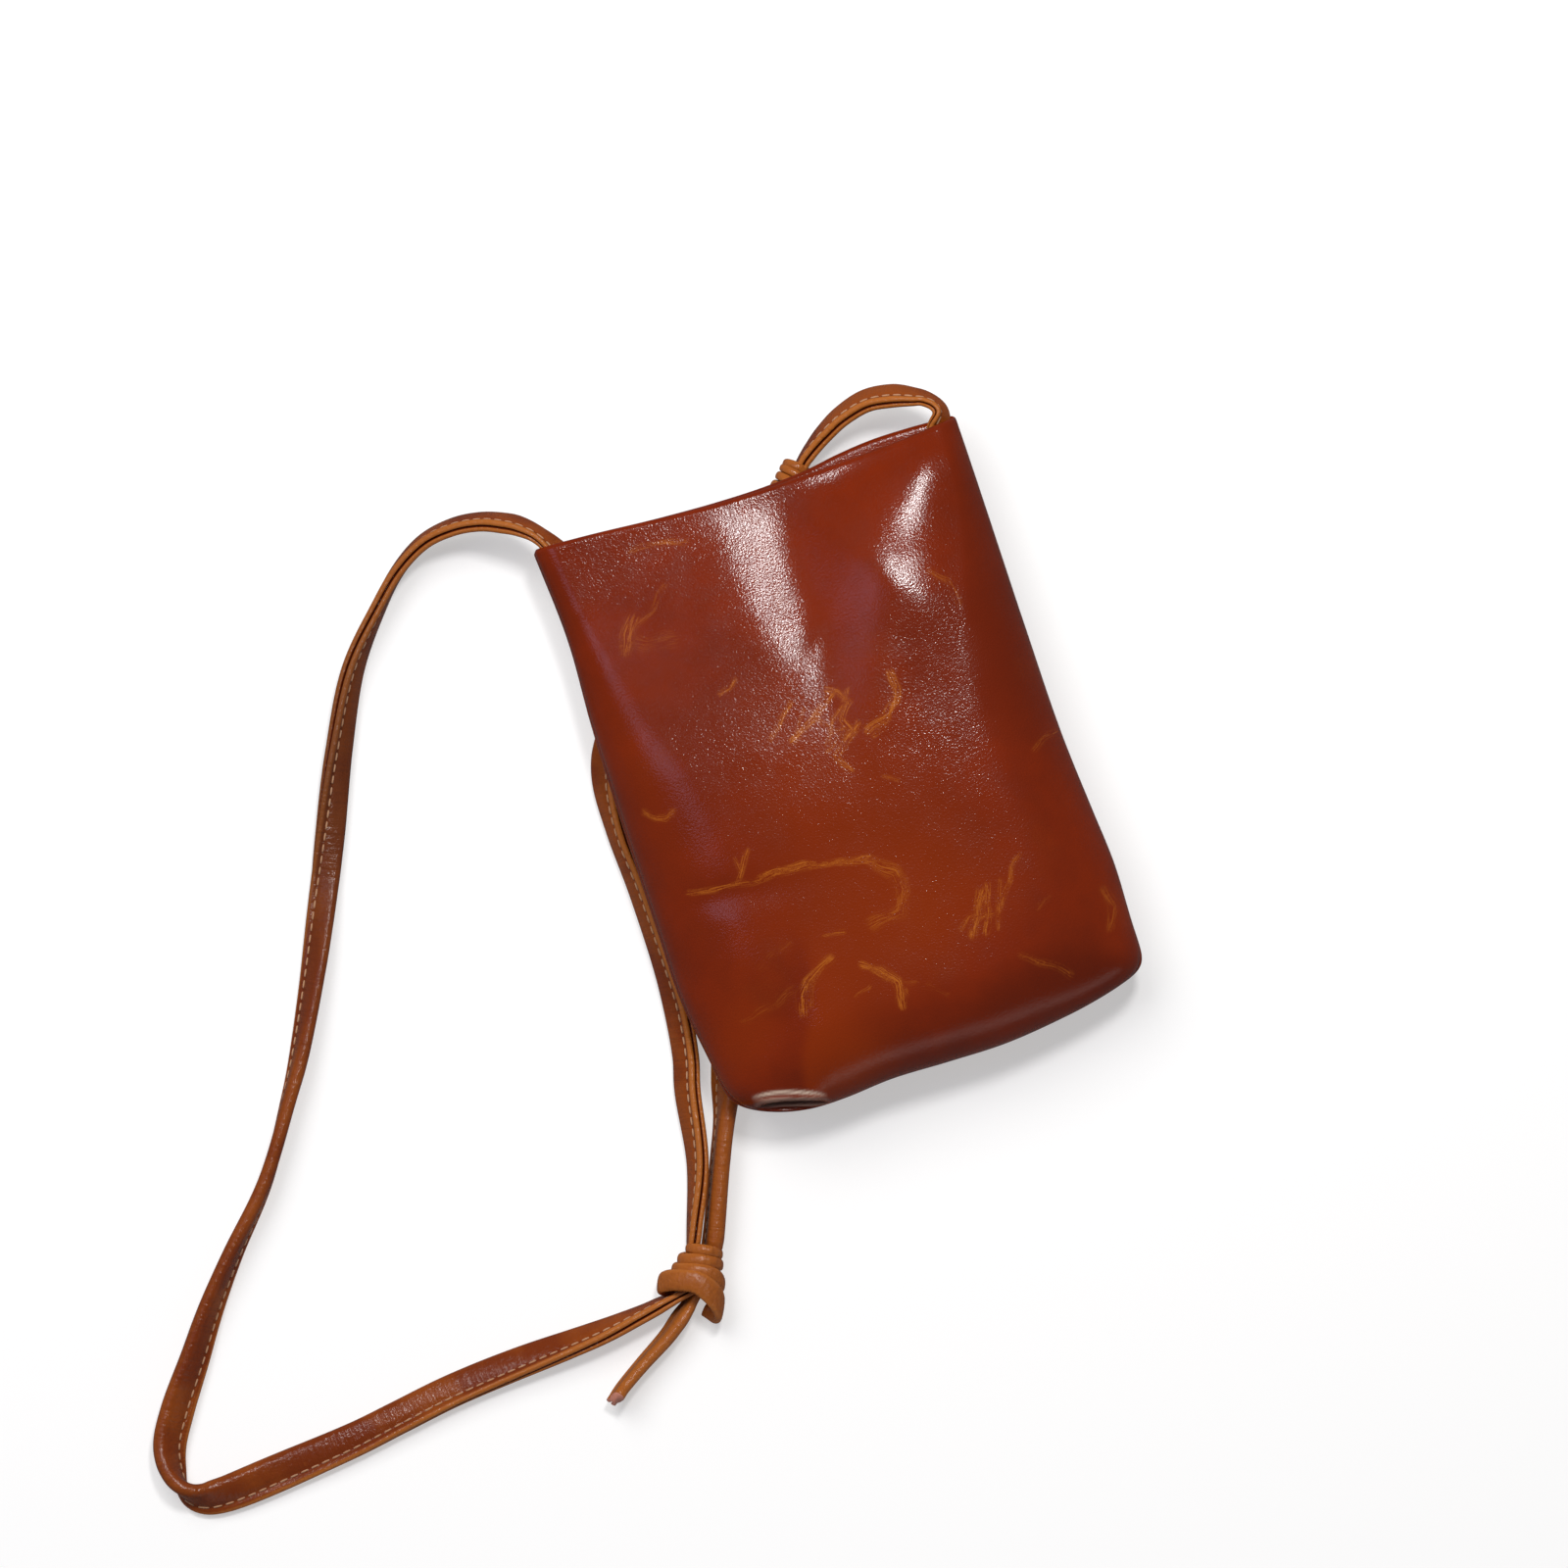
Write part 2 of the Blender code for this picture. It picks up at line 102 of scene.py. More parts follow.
def smooth(value, low, high):
    """0 below low, 1 above high, and an even curve between."""
    share = np.clip((value - low) / (high - low), 0, 1)
    return share * share * (3 - 2 * share)


def through(knots, at):
    """A smooth curve through (place, value) pairs in millimetres, read at places in metres."""
    places, values = np.array(knots, float).T * MM
    slopes = np.gradient(values, places)
    at = np.clip(at, places[0], places[-1])
    i = np.clip(np.searchsorted(places, at) - 1, 0, len(places) - 2)
    gap = places[i + 1] - places[i]
    t = (at - places[i]) / gap
    start = (1 + 2 * t) * (1 - t) ** 2 * values[i] + t * (1 - t) ** 2 * gap * slopes[i]
    end = t * t * (3 - 2 * t) * values[i + 1] - t * t * (1 - t) * gap * slopes[i + 1]
    return start + end


def unit(vectors):
    return vectors / np.maximum(np.linalg.norm(vectors, axis=-1, keepdims=True), 1e-12)


# ---------------------------------------------------------------- meshes


def add_object(name, points, faces, material, attributes=None):
    """A smooth mesh, with named numbers for each of its points."""
    mesh = bpy.data.meshes.new(name)
    mesh.from_pydata(np.asarray(points).reshape(-1, 3).tolist(), [], faces)
    for key, values in (attributes or {}).items():
        layer = mesh.attributes.new(key, "FLOAT", "POINT")
        layer.data.foreach_set("value", np.asarray(values, np.float32).ravel())
    mesh.shade_smooth()
    mesh.materials.append(material)
    mesh.validate()
    obj = bpy.data.objects.new(name, mesh)
    bpy.context.scene.collection.objects.link(obj)
    return obj


def grid_faces(rows, columns, start=0, flip=False, closed=False):
    """Quads between the points of a grid, closed=True joining the last column to the first."""
    i, j = np.meshgrid(np.arange(rows - 1), np.arange(columns if closed else columns - 1), indexing="ij")
    k = (j + 1) % columns
    quads = np.stack([i * columns + j, i * columns + k, (i + 1) * columns + k, (i + 1) * columns + j], -1)
    quads = quads.reshape(-1, 4) + start
    return (quads[:, ::-1] if flip else quads).tolist()


def tube_faces(rows, columns):
    """Faces round the rings of a tube, and one for each end: the last is the far end's."""
    ends = [list(range(columns))[::-1], list(range((rows - 1) * columns, rows * columns))]
    return grid_faces(rows, columns, closed=True) + ends


def tube(name, rings, material, attributes):
    """A closed skin over rings of points, with flat ends."""
    shape = rings.shape[:2]
    attributes = {key: np.broadcast_to(values, shape) for key, values in attributes.items()}
    return add_object(name, rings, tube_faces(*shape), material, attributes)


def closed_sheet(name, layers, material, flip=False, attributes=None):
    """A closed solid between grids that share one rim: outer face first, then rim grids, then the inner."""
    outer, *between, inner = layers
    tall, wide, _ = outer.shape
    count = tall * wide
    rim = [(0, j) for j in range(wide)] + [(i, wide - 1) for i in range(1, tall)]
    rim += [(tall - 1, j) for j in range(wide - 2, -1, -1)] + [(i, 0) for i in range(tall - 2, 0, -1)]
    rows, columns = np.array(rim).T
    points = [outer.reshape(-1, 3), inner.reshape(-1, 3)]
    points += [layer[rows, columns] for layer in between]
    faces = grid_faces(tall, wide, 0, flip) + grid_faces(tall, wide, count, not flip)
    rings = [rows * wide + columns]
    rings += [2 * count + k * len(rim) + np.arange(len(rim)) for k in range(len(between))]
    rings.append(count + rows * wide + columns)
    for near, far in zip(rings, rings[1:]):
        quads = np.stack([np.roll(near, -1), near, far, np.roll(far, -1)], -1)
        faces += (quads[:, ::-1] if flip else quads).tolist()
    numbers = {}
    for key, values in (attributes or {}).items():
        numbers[key] = np.concatenate([values.ravel()] * 2 + [values[rows, columns]] * len(between))
    return add_object(name, np.concatenate(points), faces, material, numbers)


# ---------------------------------------------------------------- the bag's shape

# The bag's outline: (height, half width) for each side, and (across, height) for its mouth.
LEFT_EDGE = [(-96, 66.6), (-75, 68.6), (-49, 71.4), (-27, 71), (8, 70.4), (40, 69.4), (70, 67.8), (97, 68.9)]
RIGHT_EDGE = [
    (-96, 69.6), (-84, 68.3), (-74, 68.3), (-53, 69.2), (-36, 68.3), (-14, 67.2), (25, 67.4), (60, 68),
    (97, 68.5),
]
FRONT_MOUTH = [
    (-70, 95.8), (-50, 94.2), (-27, 91.8), (-11, 90.4), (6, 89.7), (19, 89.7), (36, 89.8), (53, 90.4),
    (70, 91.6),
]
BACK_MOUTH = [
    (-70, 95.4), (-50, 94.4), (-27, 92.3), (-11, 91.2), (6, 90.8), (19, 91.4), (30, 92.8), (42, 93.6),
    (53, 93.3), (70, 92),
]
# How far the bottom's outline is moved: (across, shift).
BOTTOM_SHIFT = [
    (-70, -1), (-60, -2.2), (-45, -2), (-33, -0.6), (-20, 0.9), (0, 0.3), (15, -0.3), (40, -0.1), (54, -0.8),
    (70, -3),
]
# The fold of the collapsed left bottom corner: (across, height), how wide it gapes, and how far above that
# its rim stands.
FOLD_LINE = [(-61.5, -86), (-54, -88), (-46, -90.6), (-38, -93)]
FOLD_GAPE = 1.9
RIM_ABOVE = 0.3


def bottom_edge(x):
    return BOTTOM_Y + BOTTOM_CORNER_LIFT * np.minimum(1, np.abs(x) / HALF_WIDTH) ** 3.5


def edge_radius(is_front, y):
    """How far from the side outline the panel starts to curve down to the seam."""
    low = 27 * MM if is_front else 20 * MM
    return low + (7 * MM - low) * smooth(y, -10 * MM, 86 * MM)


def bottom_radius(is_front):
    return 26 * MM if is_front else 18 * MM


def strap_arch(x, y):
    """How far the back panel is lifted over the strap that runs under it."""
    start, end = np.array([-1, 66]) * MM, np.array([-66, -80]) * MM
    along = end - start
    share = np.clip(((x - start[0]) * along[0] + (y - start[1]) * along[1]) / (along @ along), 0, 1)
    away = np.hypot(x - start[0] - share * along[0], y - start[1] - share * along[1])
    return 5.4 * MM * (1 - smooth(away, 7.5 * MM, 20 * MM))


def half_depth(is_front, x, y):
    """How far the flat of a panel stands from the seam's plane."""
    if is_front:
        # The front thins towards its mouth from further down on the left than on the right.
        right = smooth(x, 0, 36 * MM)
        start = (50 * right - 14) * MM
        thin = np.clip((y - start) / (MOUTH_Y - start), 0, 1) ** (1.75 + 0.85 * right)
        full = FRONT_RISE + CROWN * (1 - (x / HALF_WIDTH) ** 2)
        return full + (MOUTH_HALF_DEPTH - full) * thin
    thin = smooth(y, 8 * MM, 66 * MM)
    return BACK_DROP + (MOUTH_HALF_DEPTH - BACK_DROP) * thin - strap_arch(x, y) * (1 - thin)


def bump(x, y, centre, size, turn=0):
    """A soft round hill of height 1, stretched to size and turned by an angle."""
    dx, dy = x - centre[0] * MM, y - centre[1] * MM
    c, s = math.cos(math.radians(turn)), math.sin(math.radians(turn))
    return np.exp(-(((dx * c + dy * s) / (size[0] * MM)) ** 2) - ((dy * c - dx * s) / (size[1] * MM)) ** 2)


def step_across(x, y, start, end, width):
    """0 on the left of the line from start to end, 1 on its right, over a width, fading past its ends."""
    a, b = np.array(start) * MM, np.array(end) * MM
    length = np.linalg.norm(b - a)
    along = (b - a) / length
    off = (x - a[0]) * along[1] - (y - a[1]) * along[0]
    reach = ((x - a[0]) * along[0] + (y - a[1]) * along[1]) / length
    within = smooth(reach, -0.1, 0.5) * (1 - smooth(reach, 1.2, 1.5))
    return smooth(off, -width * MM / 2, width * MM / 2) * within


def bend(across, softness):
    """0 to the left of a line and rising evenly to its right, with a soft bend between."""
    return softness * np.logaddexp(0, across / softness)


def front_folds(x, y):
    """Soft hollows and swellings of the front, as heights.

    From the mouth down run a crest, a valley, and two more crests, each a bend along a line across the bag.
    """
    soft = 2.2 * MM
    first_crest = x - through([(20, -3), (36, -6), (60, -11), (92, -12)], y)
    valley = x - through([(20, 8), (36, 8), (60, 8), (92, 9)], y)
    second_crest = x - through([(20, 44), (38, 41), (50, 34), (70, 24), (92, 17)], y)
    outer_crest = x - through([(20, 36), (40, 41), (70, 47), (92, 52)], y)
    rise = through([(20, 70), (40, 80), (70, 190), (92, 260)], y)  # a slope, in thousandths
    creased = 0.075 * (x + 9 * MM) - 0.185 * bend(first_crest, soft) + (0.11 + rise) * bend(valley, soft)
    creased = creased - (rise + 0.10) * bend(second_crest, soft) - 0.16 * bend(outer_crest, soft)
    z = creased * smooth(y, 14 * MM, 56 * MM)
    # The mouth's right corner stays thick.
    z += 6.0 * MM * smooth(x, 26 * MM, 58 * MM) * smooth(y, 62 * MM, 92 * MM)
    z += 0.3 * MM * bump(x, y, (6, 44), (3.2, 11), -35)
    z += 0.7 * MM * bump(x, y, (30, -14), (30, 24))
    z -= 0.8 * MM * bump(x, y, (-46, -24), (18, 5), -10)  # a shallow crease at the left
    z -= 2.6 * MM * step_across(x, y, (-34, -50), (-45, -100), 15)  # the left bottom corner falls away
    z -= 3.4 * MM * bump(x, y, (52, -78), (20, 16), 25)
    return z


def front_depth(x, y):
    """The front's half depth with its folds, never less than it needs near the mouth."""
    depth = half_depth(True, x, y) + front_folds(x, y)
    least = LEAST_HALF_DEPTH * smooth(y, 46 * MM, 76 * MM)
    return least + bend(depth - least, 1.1 * MM)


def fold_place(x, y):
    """In the collapsed left bottom corner: how far its fold is open here, and the distance above its line."""
    start, end = FOLD_LINE[0][0], FOLD_LINE[-1][0]
    open_here = np.sin(math.pi * np.clip((x / MM - start) / (end - start), 0, 1)) ** 0.6
    return open_here, y / MM - through(FOLD_LINE, x) / MM


def ridge(away, width):
    """1 on a line and falling to 0 beside it."""
    return np.exp(-((away / width) ** 2))


def corner_fold(x, y):
    """How high the fold stands: a rolled rim above a narrow gap, a sunken inside and a lower lip."""
    open_here, above = fold_place(x, y)
    over = above - FOLD_GAPE * open_here
    rim = 1.7 * ridge(over - RIM_ABOVE, 0.75) + 0.7 * ridge(over - 2.2, 2.4)
    gap = 5.0 * ridge(over + 1.1, 0.6)
    inside = 1.9 * smooth(above, -1.9, -1.3) * (1 - smooth(above, 0.4, 1.4))
    lip = 0.7 * ridge(above + 2.3, 0.6)
    return (rim + lip - gap - inside) * open_here * MM


def panel_points(is_front, side, bottom, across, up, depth=0.0):
    """Points of a panel, on its outside or at a depth below it.

    side and bottom run from 0 on the flat to 1 on the outline; across and up place the flat part.
    """
    longest = np.maximum(side, bottom)
    rim = (side**CORNER_POWER + bottom**CORNER_POWER) ** (1 / CORNER_POWER)
    shrink = np.where(rim > 0, longest / np.maximum(rim, 1e-9), 1)
    side, bottom = side * shrink, bottom * shrink
    radius = edge_radius(is_front, up)
    x = across * (HALF_WIDTH - radius) + np.sign(across) * radius * side
    start = BOTTOM_Y + bottom_radius(is_front)
    raised = up + (bottom_edge(x) - BOTTOM_Y) * (1 - smooth(up, start, 10 * MM))
    y = np.where(bottom > 0, bottom_edge(x) + bottom_radius(is_front) * (1 - bottom), raised)
    full = front_depth(x, y) if is_front else half_depth(False, x, y)
    height = (full - depth) * np.sqrt(np.maximum(0, 1 - longest**2))
    away = unit(np.stack([np.sign(across) * side ** (CORNER_POWER - 1) / radius,
                          -(bottom ** (CORNER_POWER - 1)) / bottom_radius(is_front)], -1))
    sink = depth * longest
    if np.max(depth) == 0:
        # The turned edge sinks in beside the seam.
        sink = SEAM_LIP * (1 - np.sqrt(1 - np.clip(1 - height / LIP_HEIGHT, 0, 1) ** 2))
    x, y = x - away[..., 0] * sink, y - away[..., 1] * sink
    if is_front:
        height = height + corner_fold(x, y) * smooth(height, 0, 2.5 * MM)
    # The outline that the real bag has, and its mouth.
    edge = np.where(x < 0, through(LEFT_EDGE, y), through(RIGHT_EDGE, y))
    if not is_front:
        edge = edge + np.where(x < 0, 0.9, 0.2) * MM * smooth(height, 0, 3 * MM)
    x = x * (1 + (edge / HALF_WIDTH - 1) * np.clip(np.abs(x) / HALF_WIDTH, 0, 1) ** 2)
    y = y + through(BOTTOM_SHIFT, x) * (1 - smooth(y, BOTTOM_Y, -40 * MM))
    mouth = through(FRONT_MOUTH if is_front else BACK_MOUTH, x)
    y = y + (mouth - MOUTH_Y) * smooth(y, 30 * MM, MOUTH_Y)
    height = np.maximum(height, np.minimum(depth, LEATHER))
    z = SEAM_Z + (1 if is_front else -1) * (height + SEAM_GAP)
    return np.stack([x, y, z], -1)


def edge_shares():
    """Shares of the way round an edge, from the outline to the flat, closest together beside the seam.

    The first ones are for small heights over the seam, where the edge turns in.
    """
    lip = [math.sin(math.acos(height)) for height in (0, 0.008, 0.017, 0.03, 0.045, 0.06)]
    return lip + [math.sin(math.radians(angle)) for angle in np.linspace(85, 2, 36)]


def panel_grid(is_front, low=None, high=None, inset=1.0, spacing=GRID, depth=0.0, hem=0.0):
    """Points of a panel between two heights, leaving out the places beside the seam beyond inset.

    depth is how far below the outside they are, and hem how much further near the mouth.
    """
    shares = [share for share in edge_shares() if share <= inset]
    count = round(2 * (HALF_WIDTH - 20 * MM) / spacing)
    columns = [(share, -1) for share in shares]
    columns += [(0, across) for across in np.linspace(-1, 1, count)]
    columns += [(share, 1) for share in reversed(shares)]
    start = BOTTOM_Y + bottom_radius(is_front) + 1.5 * MM
    rows = [(share, start) for share in shares] if low is None else []
    low = start if low is None else low
    high = MOUTH_Y if high is None else high
    rows += [(0, up) for up in np.linspace(low, high, round((high - low) / spacing) + 1)]
    side, across = (np.array(values, float)[None, :] for values in zip(*columns))
    bottom, up = (np.array(values, float)[:, None] for values in zip(*rows))
    shape = (len(rows), len(columns))
    side, bottom, across, up = (np.broadcast_to(values, shape) for values in (side, bottom, across, up))
    depth = depth + hem * smooth(up, MOUTH_Y - HEM_DEPTH - 1 * MM, MOUTH_Y - HEM_DEPTH)
    return panel_points(is_front, side, bottom, across, up, depth)


def with_allowance(points, reach):
    """The grid with the turned edge's allowance added along its two sides and its bottom."""
    for _ in range(2):
        left, right = points[:, :1].copy(), points[:, -1:].copy()
        left[..., 0] += reach / 2
        right[..., 0] -= reach / 2
        points = np.concatenate([left, points, right], 1)
        lower = points[:1].copy()
        lower[..., 1] += reach / 2
        points = np.concatenate([lower, points], 0)
    return points


# ---------------------------------------------------------------- leather marks

# Pull-up marks on the front: each a line of points, its width and its strength.
MARKS = [
    ([(-9, 26), (-14, 21.5), (-19, 17)], 0.5, 0.8), ([(-6, 23), (-10, 18), (-12, 16)], 0.4, 0.5),
    ([(4, 24.5), (-1, 21.5), (-4, 18.5), (-12.5, 15)], 0.7, 1.0),
    ([(8, 13), (4, 9.5), (-1.5, 6), (1, 0.5)], 0.7, 0.9),
    ([(2, 26), (6, 24.5), (8, 20), (4, 16), (6, 11)], 0.6, 0.9), ([(-3, 18), (0, 13), (3.5, 13)], 0.5, 0.7),
    ([(9, 24), (5, 19), (1, 17), (-3, 10)], 0.5, 0.7), ([(7, 12), (2, 11), (-4, 8)], 0.4, 0.6),
    ([(22.5, 24), (23, 19), (21.5, 15.5), (16.5, 12), (10.5, 10.5)], 0.8, 1.0),
    ([(20, 14), (15, 9), (12, 8)], 0.5, 0.6), ([(-28.5, 35.5), (-25.5, 36.5), (-23, 38.5)], 0.6, 0.7),
    ([(10.5, -5), (14, -7.5)], 0.5, 0.5),
    ([(-58, -19), (-52, -20.5), (-38.5, -22.5), (-31, -22), (-23, -23), (-12, -25.5), (-1, -29)], 0.55, 0.8),
    ([(-36, -21), (-26, -21.5), (-14, -24.5), (-2, -27)], 0.45, 0.8),
    ([(-42, -20), (-40, -17), (-37, -13)], 0.7, 0.7), ([(-43, -22), (-41, -18), (-41.5, -14)], 0.5, 0.5),
    ([(-1, -29), (4, -34), (4.5, -40), (1.5, -45.5), (-8, -46.5)], 1.5, 0.55),
    ([(2, -32), (6, -37), (4, -43)], 0.8, 0.5), ([(-23, -45), (-16.5, -46)], 0.5, 0.6),
    ([(-37, -65), (-36, -60), (-33, -56.5), (-24, -52.5)], 0.9, 0.75),
    ([(-34, -64), (-32, -58), (-27, -55)], 0.6, 0.5),
    ([(-15, -58), (-10, -61), (-7, -66), (-7.5, -73.5)], 0.8, 0.95),
    ([(-13, -60), (-9, -64), (-5, -70)], 0.5, 0.7), ([(-7, -66), (-1, -68), (7, -75)], 0.5, 0.35),
    ([(-20, -66), (-15, -64)], 0.4, 0.5), ([(20, -60), (24, -54), (27, -48)], 0.9, 0.85),
    ([(24, -61), (27, -55), (29, -47)], 0.6, 0.8), ([(28, -60), (31, -54), (33, -47)], 0.6, 0.7),
    ([(17, -57), (21, -54), (28, -56)], 0.6, 0.6), ([(31, -55), (37, -47), (41, -41)], 0.6, 0.6),
    ([(32, -71), (40, -77), (45, -82)], 0.7, 0.5), ([(42, -59), (46, -56)], 0.6, 0.4),
    ([(-63, 9), (-60, 6), (-57.5, 5), (-55, 6)], 0.8, 0.6),
    ([(-53, 60), (-46.5, 64), (-40.5, 67), (-34, 73)], 0.7, 0.4),
    ([(-52, 58), (-50, 62), (-47, 66)], 1.4, 0.6), ([(-50, 61), (-45, 58), (-38, 57)], 2.2, 0.3),
    ([(-40, 86.5), (-30, 86), (-23.5, 84)], 0.7, 0.6), ([(57, -12.5), (61, -10), (65, -9)], 0.7, 0.45),
    ([(44, 50), (49, 46), (50, 38)], 1.0, 0.4), ([(61, -72), (64, -66), (63, -60)], 1.0, 0.45),
    ([(-55, -62), (-45, -60), (-38, -58)], 1.2, 0.3), ([(-45, -48), (-40, -45), (-34, -44)], 1.0, 0.25),
]
# Where the leather is more orange, and where painted shade darkens it: centre, size and strength.
ORANGE = [
    ((0, -48), (46, 40), 0.9), ((-8, 12), (40, 30), 0.5), ((-52, -70), (20, 16), 0.6),
    ((-60, 20), (8, 40), 0.35), ((-30, -86), (16, 10), 0.7), ((66, -70), (7, 12), 0.8),
]
PAINTED_SHADE_ZONES = [((34, -80), (40, 16), 0.9), ((60, 20), (16, 60), 0.35), ((25, 72), (10, 22), 0.2)]
MARK_SPREAD = 1.7
MARK_SHIFT = 7  # so that no two marks have the same fibres


def line_places(x, y, line):
    """For each point: its distance from a line of points, on which side it is, and how far along."""
    best = np.full(x.shape, np.inf)
    across, along, start = np.zeros(x.shape), np.zeros(x.shape), 0
    for a, b in zip(line, line[1:]):
        a, b = np.array(a, float), np.array(b, float)
        length = math.dist(a, b)
        way = (b - a) / length
        reach = (x - a[0]) * way[0] + (y - a[1]) * way[1]
        off = (x - a[0]) * way[1] - (y - a[1]) * way[0]
        t = np.clip(reach, 0, length)
        away = np.hypot(x - a[0] - t * way[0], y - a[1] - t * way[1])
        nearer = away < best
        best = np.where(nearer, away, best)
        across, along = np.where(nearer, off, across), np.where(nearer, start + reach, along)
        start += length
    return best, across, along


def wobble(x, y, scale, seed):
    """A smooth random number between -1 and 1, from a few waves."""
    random = np.random.default_rng(seed)
    total = np.zeros(x.shape)
    for _ in range(6):
        angle, phase = random.uniform(0, math.tau, 2)
        wave = random.uniform(0.6, 1.6) / scale
        total += np.sin((x * math.cos(angle) + y * math.sin(angle)) * wave + phase)
    return total / 4


def leather_marks(points):
    """Numbers for the leather's shader: pull-up marks, tone with painted shade (orange above 0, painted shade
    below), and a painted highlight on the corner fold's rim.
    """
    x, y = points[..., 0] / MM, points[..., 1] / MM
    warped_x, warped_y = x + 0.5 * wobble(x, y, 1.6, 1), y + 0.5 * wobble(x, y, 1.6, 2)
    pull, across, along = (np.zeros(x.shape) for _ in range(3))
    for number, (line, width, strength) in enumerate(MARKS):
        away, off, reach = line_places(warped_x, warped_y, line)
        mark = strength * ridge(away, width * MARK_SPREAD)
        stronger = mark > pull
        pull = np.where(stronger, mark, pull)
        across = np.where(stronger, off + MARK_SHIFT * number, across)
        along = np.where(stronger, reach, along)
    tone_and_shade = np.zeros(x.shape)
    for zones, sign in ((ORANGE, 1), (PAINTED_SHADE_ZONES, -1)):
        for centre, size, strength in zones:
            tone_and_shade += sign * strength * bump(x * MM, y * MM, centre, size)
    # Painted shade on the facet left of the collapsed corner's edge, and painted light, orange, on the facet
    # to its right.
    off = x - through([(-95, -47), (-80, -43), (-62, -34), (-45, -30)], y * MM) / MM
    tone_and_shade += (1 - smooth(y, -60, -36)) * ridge(off, 14) * (1.1 * smooth(off, -3.5, 5) - 0.75)
    # A pale painted highlight on the collapsed corner's rolled rim, its lower lip and a little inside its
    # gap.
    open_here, above = fold_place(x * MM, y * MM)
    sheen_and_wear = ridge(above - FOLD_GAPE * open_here - RIM_ABOVE, 0.5) + 0.5 * ridge(above + 2.2, 0.45)
    sheen_and_wear += 0.28 * smooth(above, -1.8, -1.2) * (1 - smooth(above, 0.2, 0.7))
    sheen_and_wear *= np.clip(open_here * 1.6 - 0.3, 0, 1)
    tone_and_shade = np.clip(tone_and_shade, -1, 1)
    return {"pull": pull, "pull_across": across, "pull_along": along, "tone_and_shade": tone_and_shade, "sheen_and_wear": sheen_and_wear}


# ---------------------------------------------------------------- materials


def new_material(name, roughness, metallic=0.0):
    material = bpy.data.materials.new(name)
    material.use_nodes = True
    shader = material.node_tree.nodes["Principled BSDF"]
    shader.inputs["Roughness"].default_value = roughness
    shader.inputs["Metallic"].default_value = metallic
    return material, material.node_tree, shader


def node(tree, kind, **settings):
    made = tree.nodes.new(kind)
    for key, value in settings.items():
        if key in made.inputs:
            made.inputs[key].default_value = value
        else:
            setattr(made, key, value)
    return made


def place(tree, stretch=(1, 1, 1)):
    """The object's own coordinates, in millimetres."""
    coordinates = tree.nodes.new("ShaderNodeTexCoord")
    mapping = tree.nodes.new("ShaderNodeMapping")
    mapping.inputs["Scale"].default_value = [1000.0 * share for share in stretch]
    tree.links.new(coordinates.outputs["Object"], mapping.inputs["Vector"])
    return mapping.outputs["Vector"]


def noise(tree, vector, scale, detail=3.0, roughness=0.55, distortion=0.0):
    made = node(tree, "ShaderNodeTexNoise", Scale=scale, Detail=detail, Roughness=roughness)
    made.inputs["Distortion"].default_value = distortion
    tree.links.new(vector, made.inputs["Vector"])
    return made.outputs["Fac"]


def ramp(tree, value, low, high, to_low=0.0, to_high=1.0):
    """value mapped smoothly from low..high to to_low..to_high."""
    made = tree.nodes.new("ShaderNodeMapRange")
    made.interpolation_type = "SMOOTHSTEP"
    for key, number in (("From Min", low), ("From Max", high), ("To Min", to_low), ("To Max", to_high)):
        made.inputs[key].default_value = number
    tree.links.new(value, made.inputs["Value"])
    return made.outputs["Result"]


def maths(tree, operation, a, b=None):
    made = tree.nodes.new("ShaderNodeMath")
    made.operation = operation
    for i, value in enumerate((a, b)):
        if value is None:
            continue
        if isinstance(value, (int, float)):
            made.inputs[i].default_value = value
        else:
            tree.links.new(value, made.inputs[i])
    return made.outputs["Value"]


def mix(tree, factor, a, b, blend_type="MIX"):
    """A colour between a and b, each a colour or a socket."""
    made = tree.nodes.new("ShaderNodeMix")
    made.data_type = "RGBA"
    made.blend_type = blend_type
    tree.links.new(factor, made.inputs["Factor"])
    for socket, value in ((made.inputs[6], a), (made.inputs[7], b)):
        if isinstance(value, tuple):
            socket.default_value = (*value, 1)
        else:
            tree.links.new(value, socket)
    return made.outputs[2]


def attribute(tree, name):
    made = tree.nodes.new("ShaderNodeAttribute")
    made.attribute_name = name
    return made.outputs["Fac"]


def bumped(tree, shader, height, distance, strength=1.0, before=None):
    made = node(tree, "ShaderNodeBump", Strength=strength, Distance=distance)
    tree.links.new(height, made.inputs["Height"])
    if before is not None:
        tree.links.new(before, made.inputs["Normal"])
    tree.links.new(made.outputs["Normal"], shader.inputs["Normal"])
    return made.outputs["Normal"]


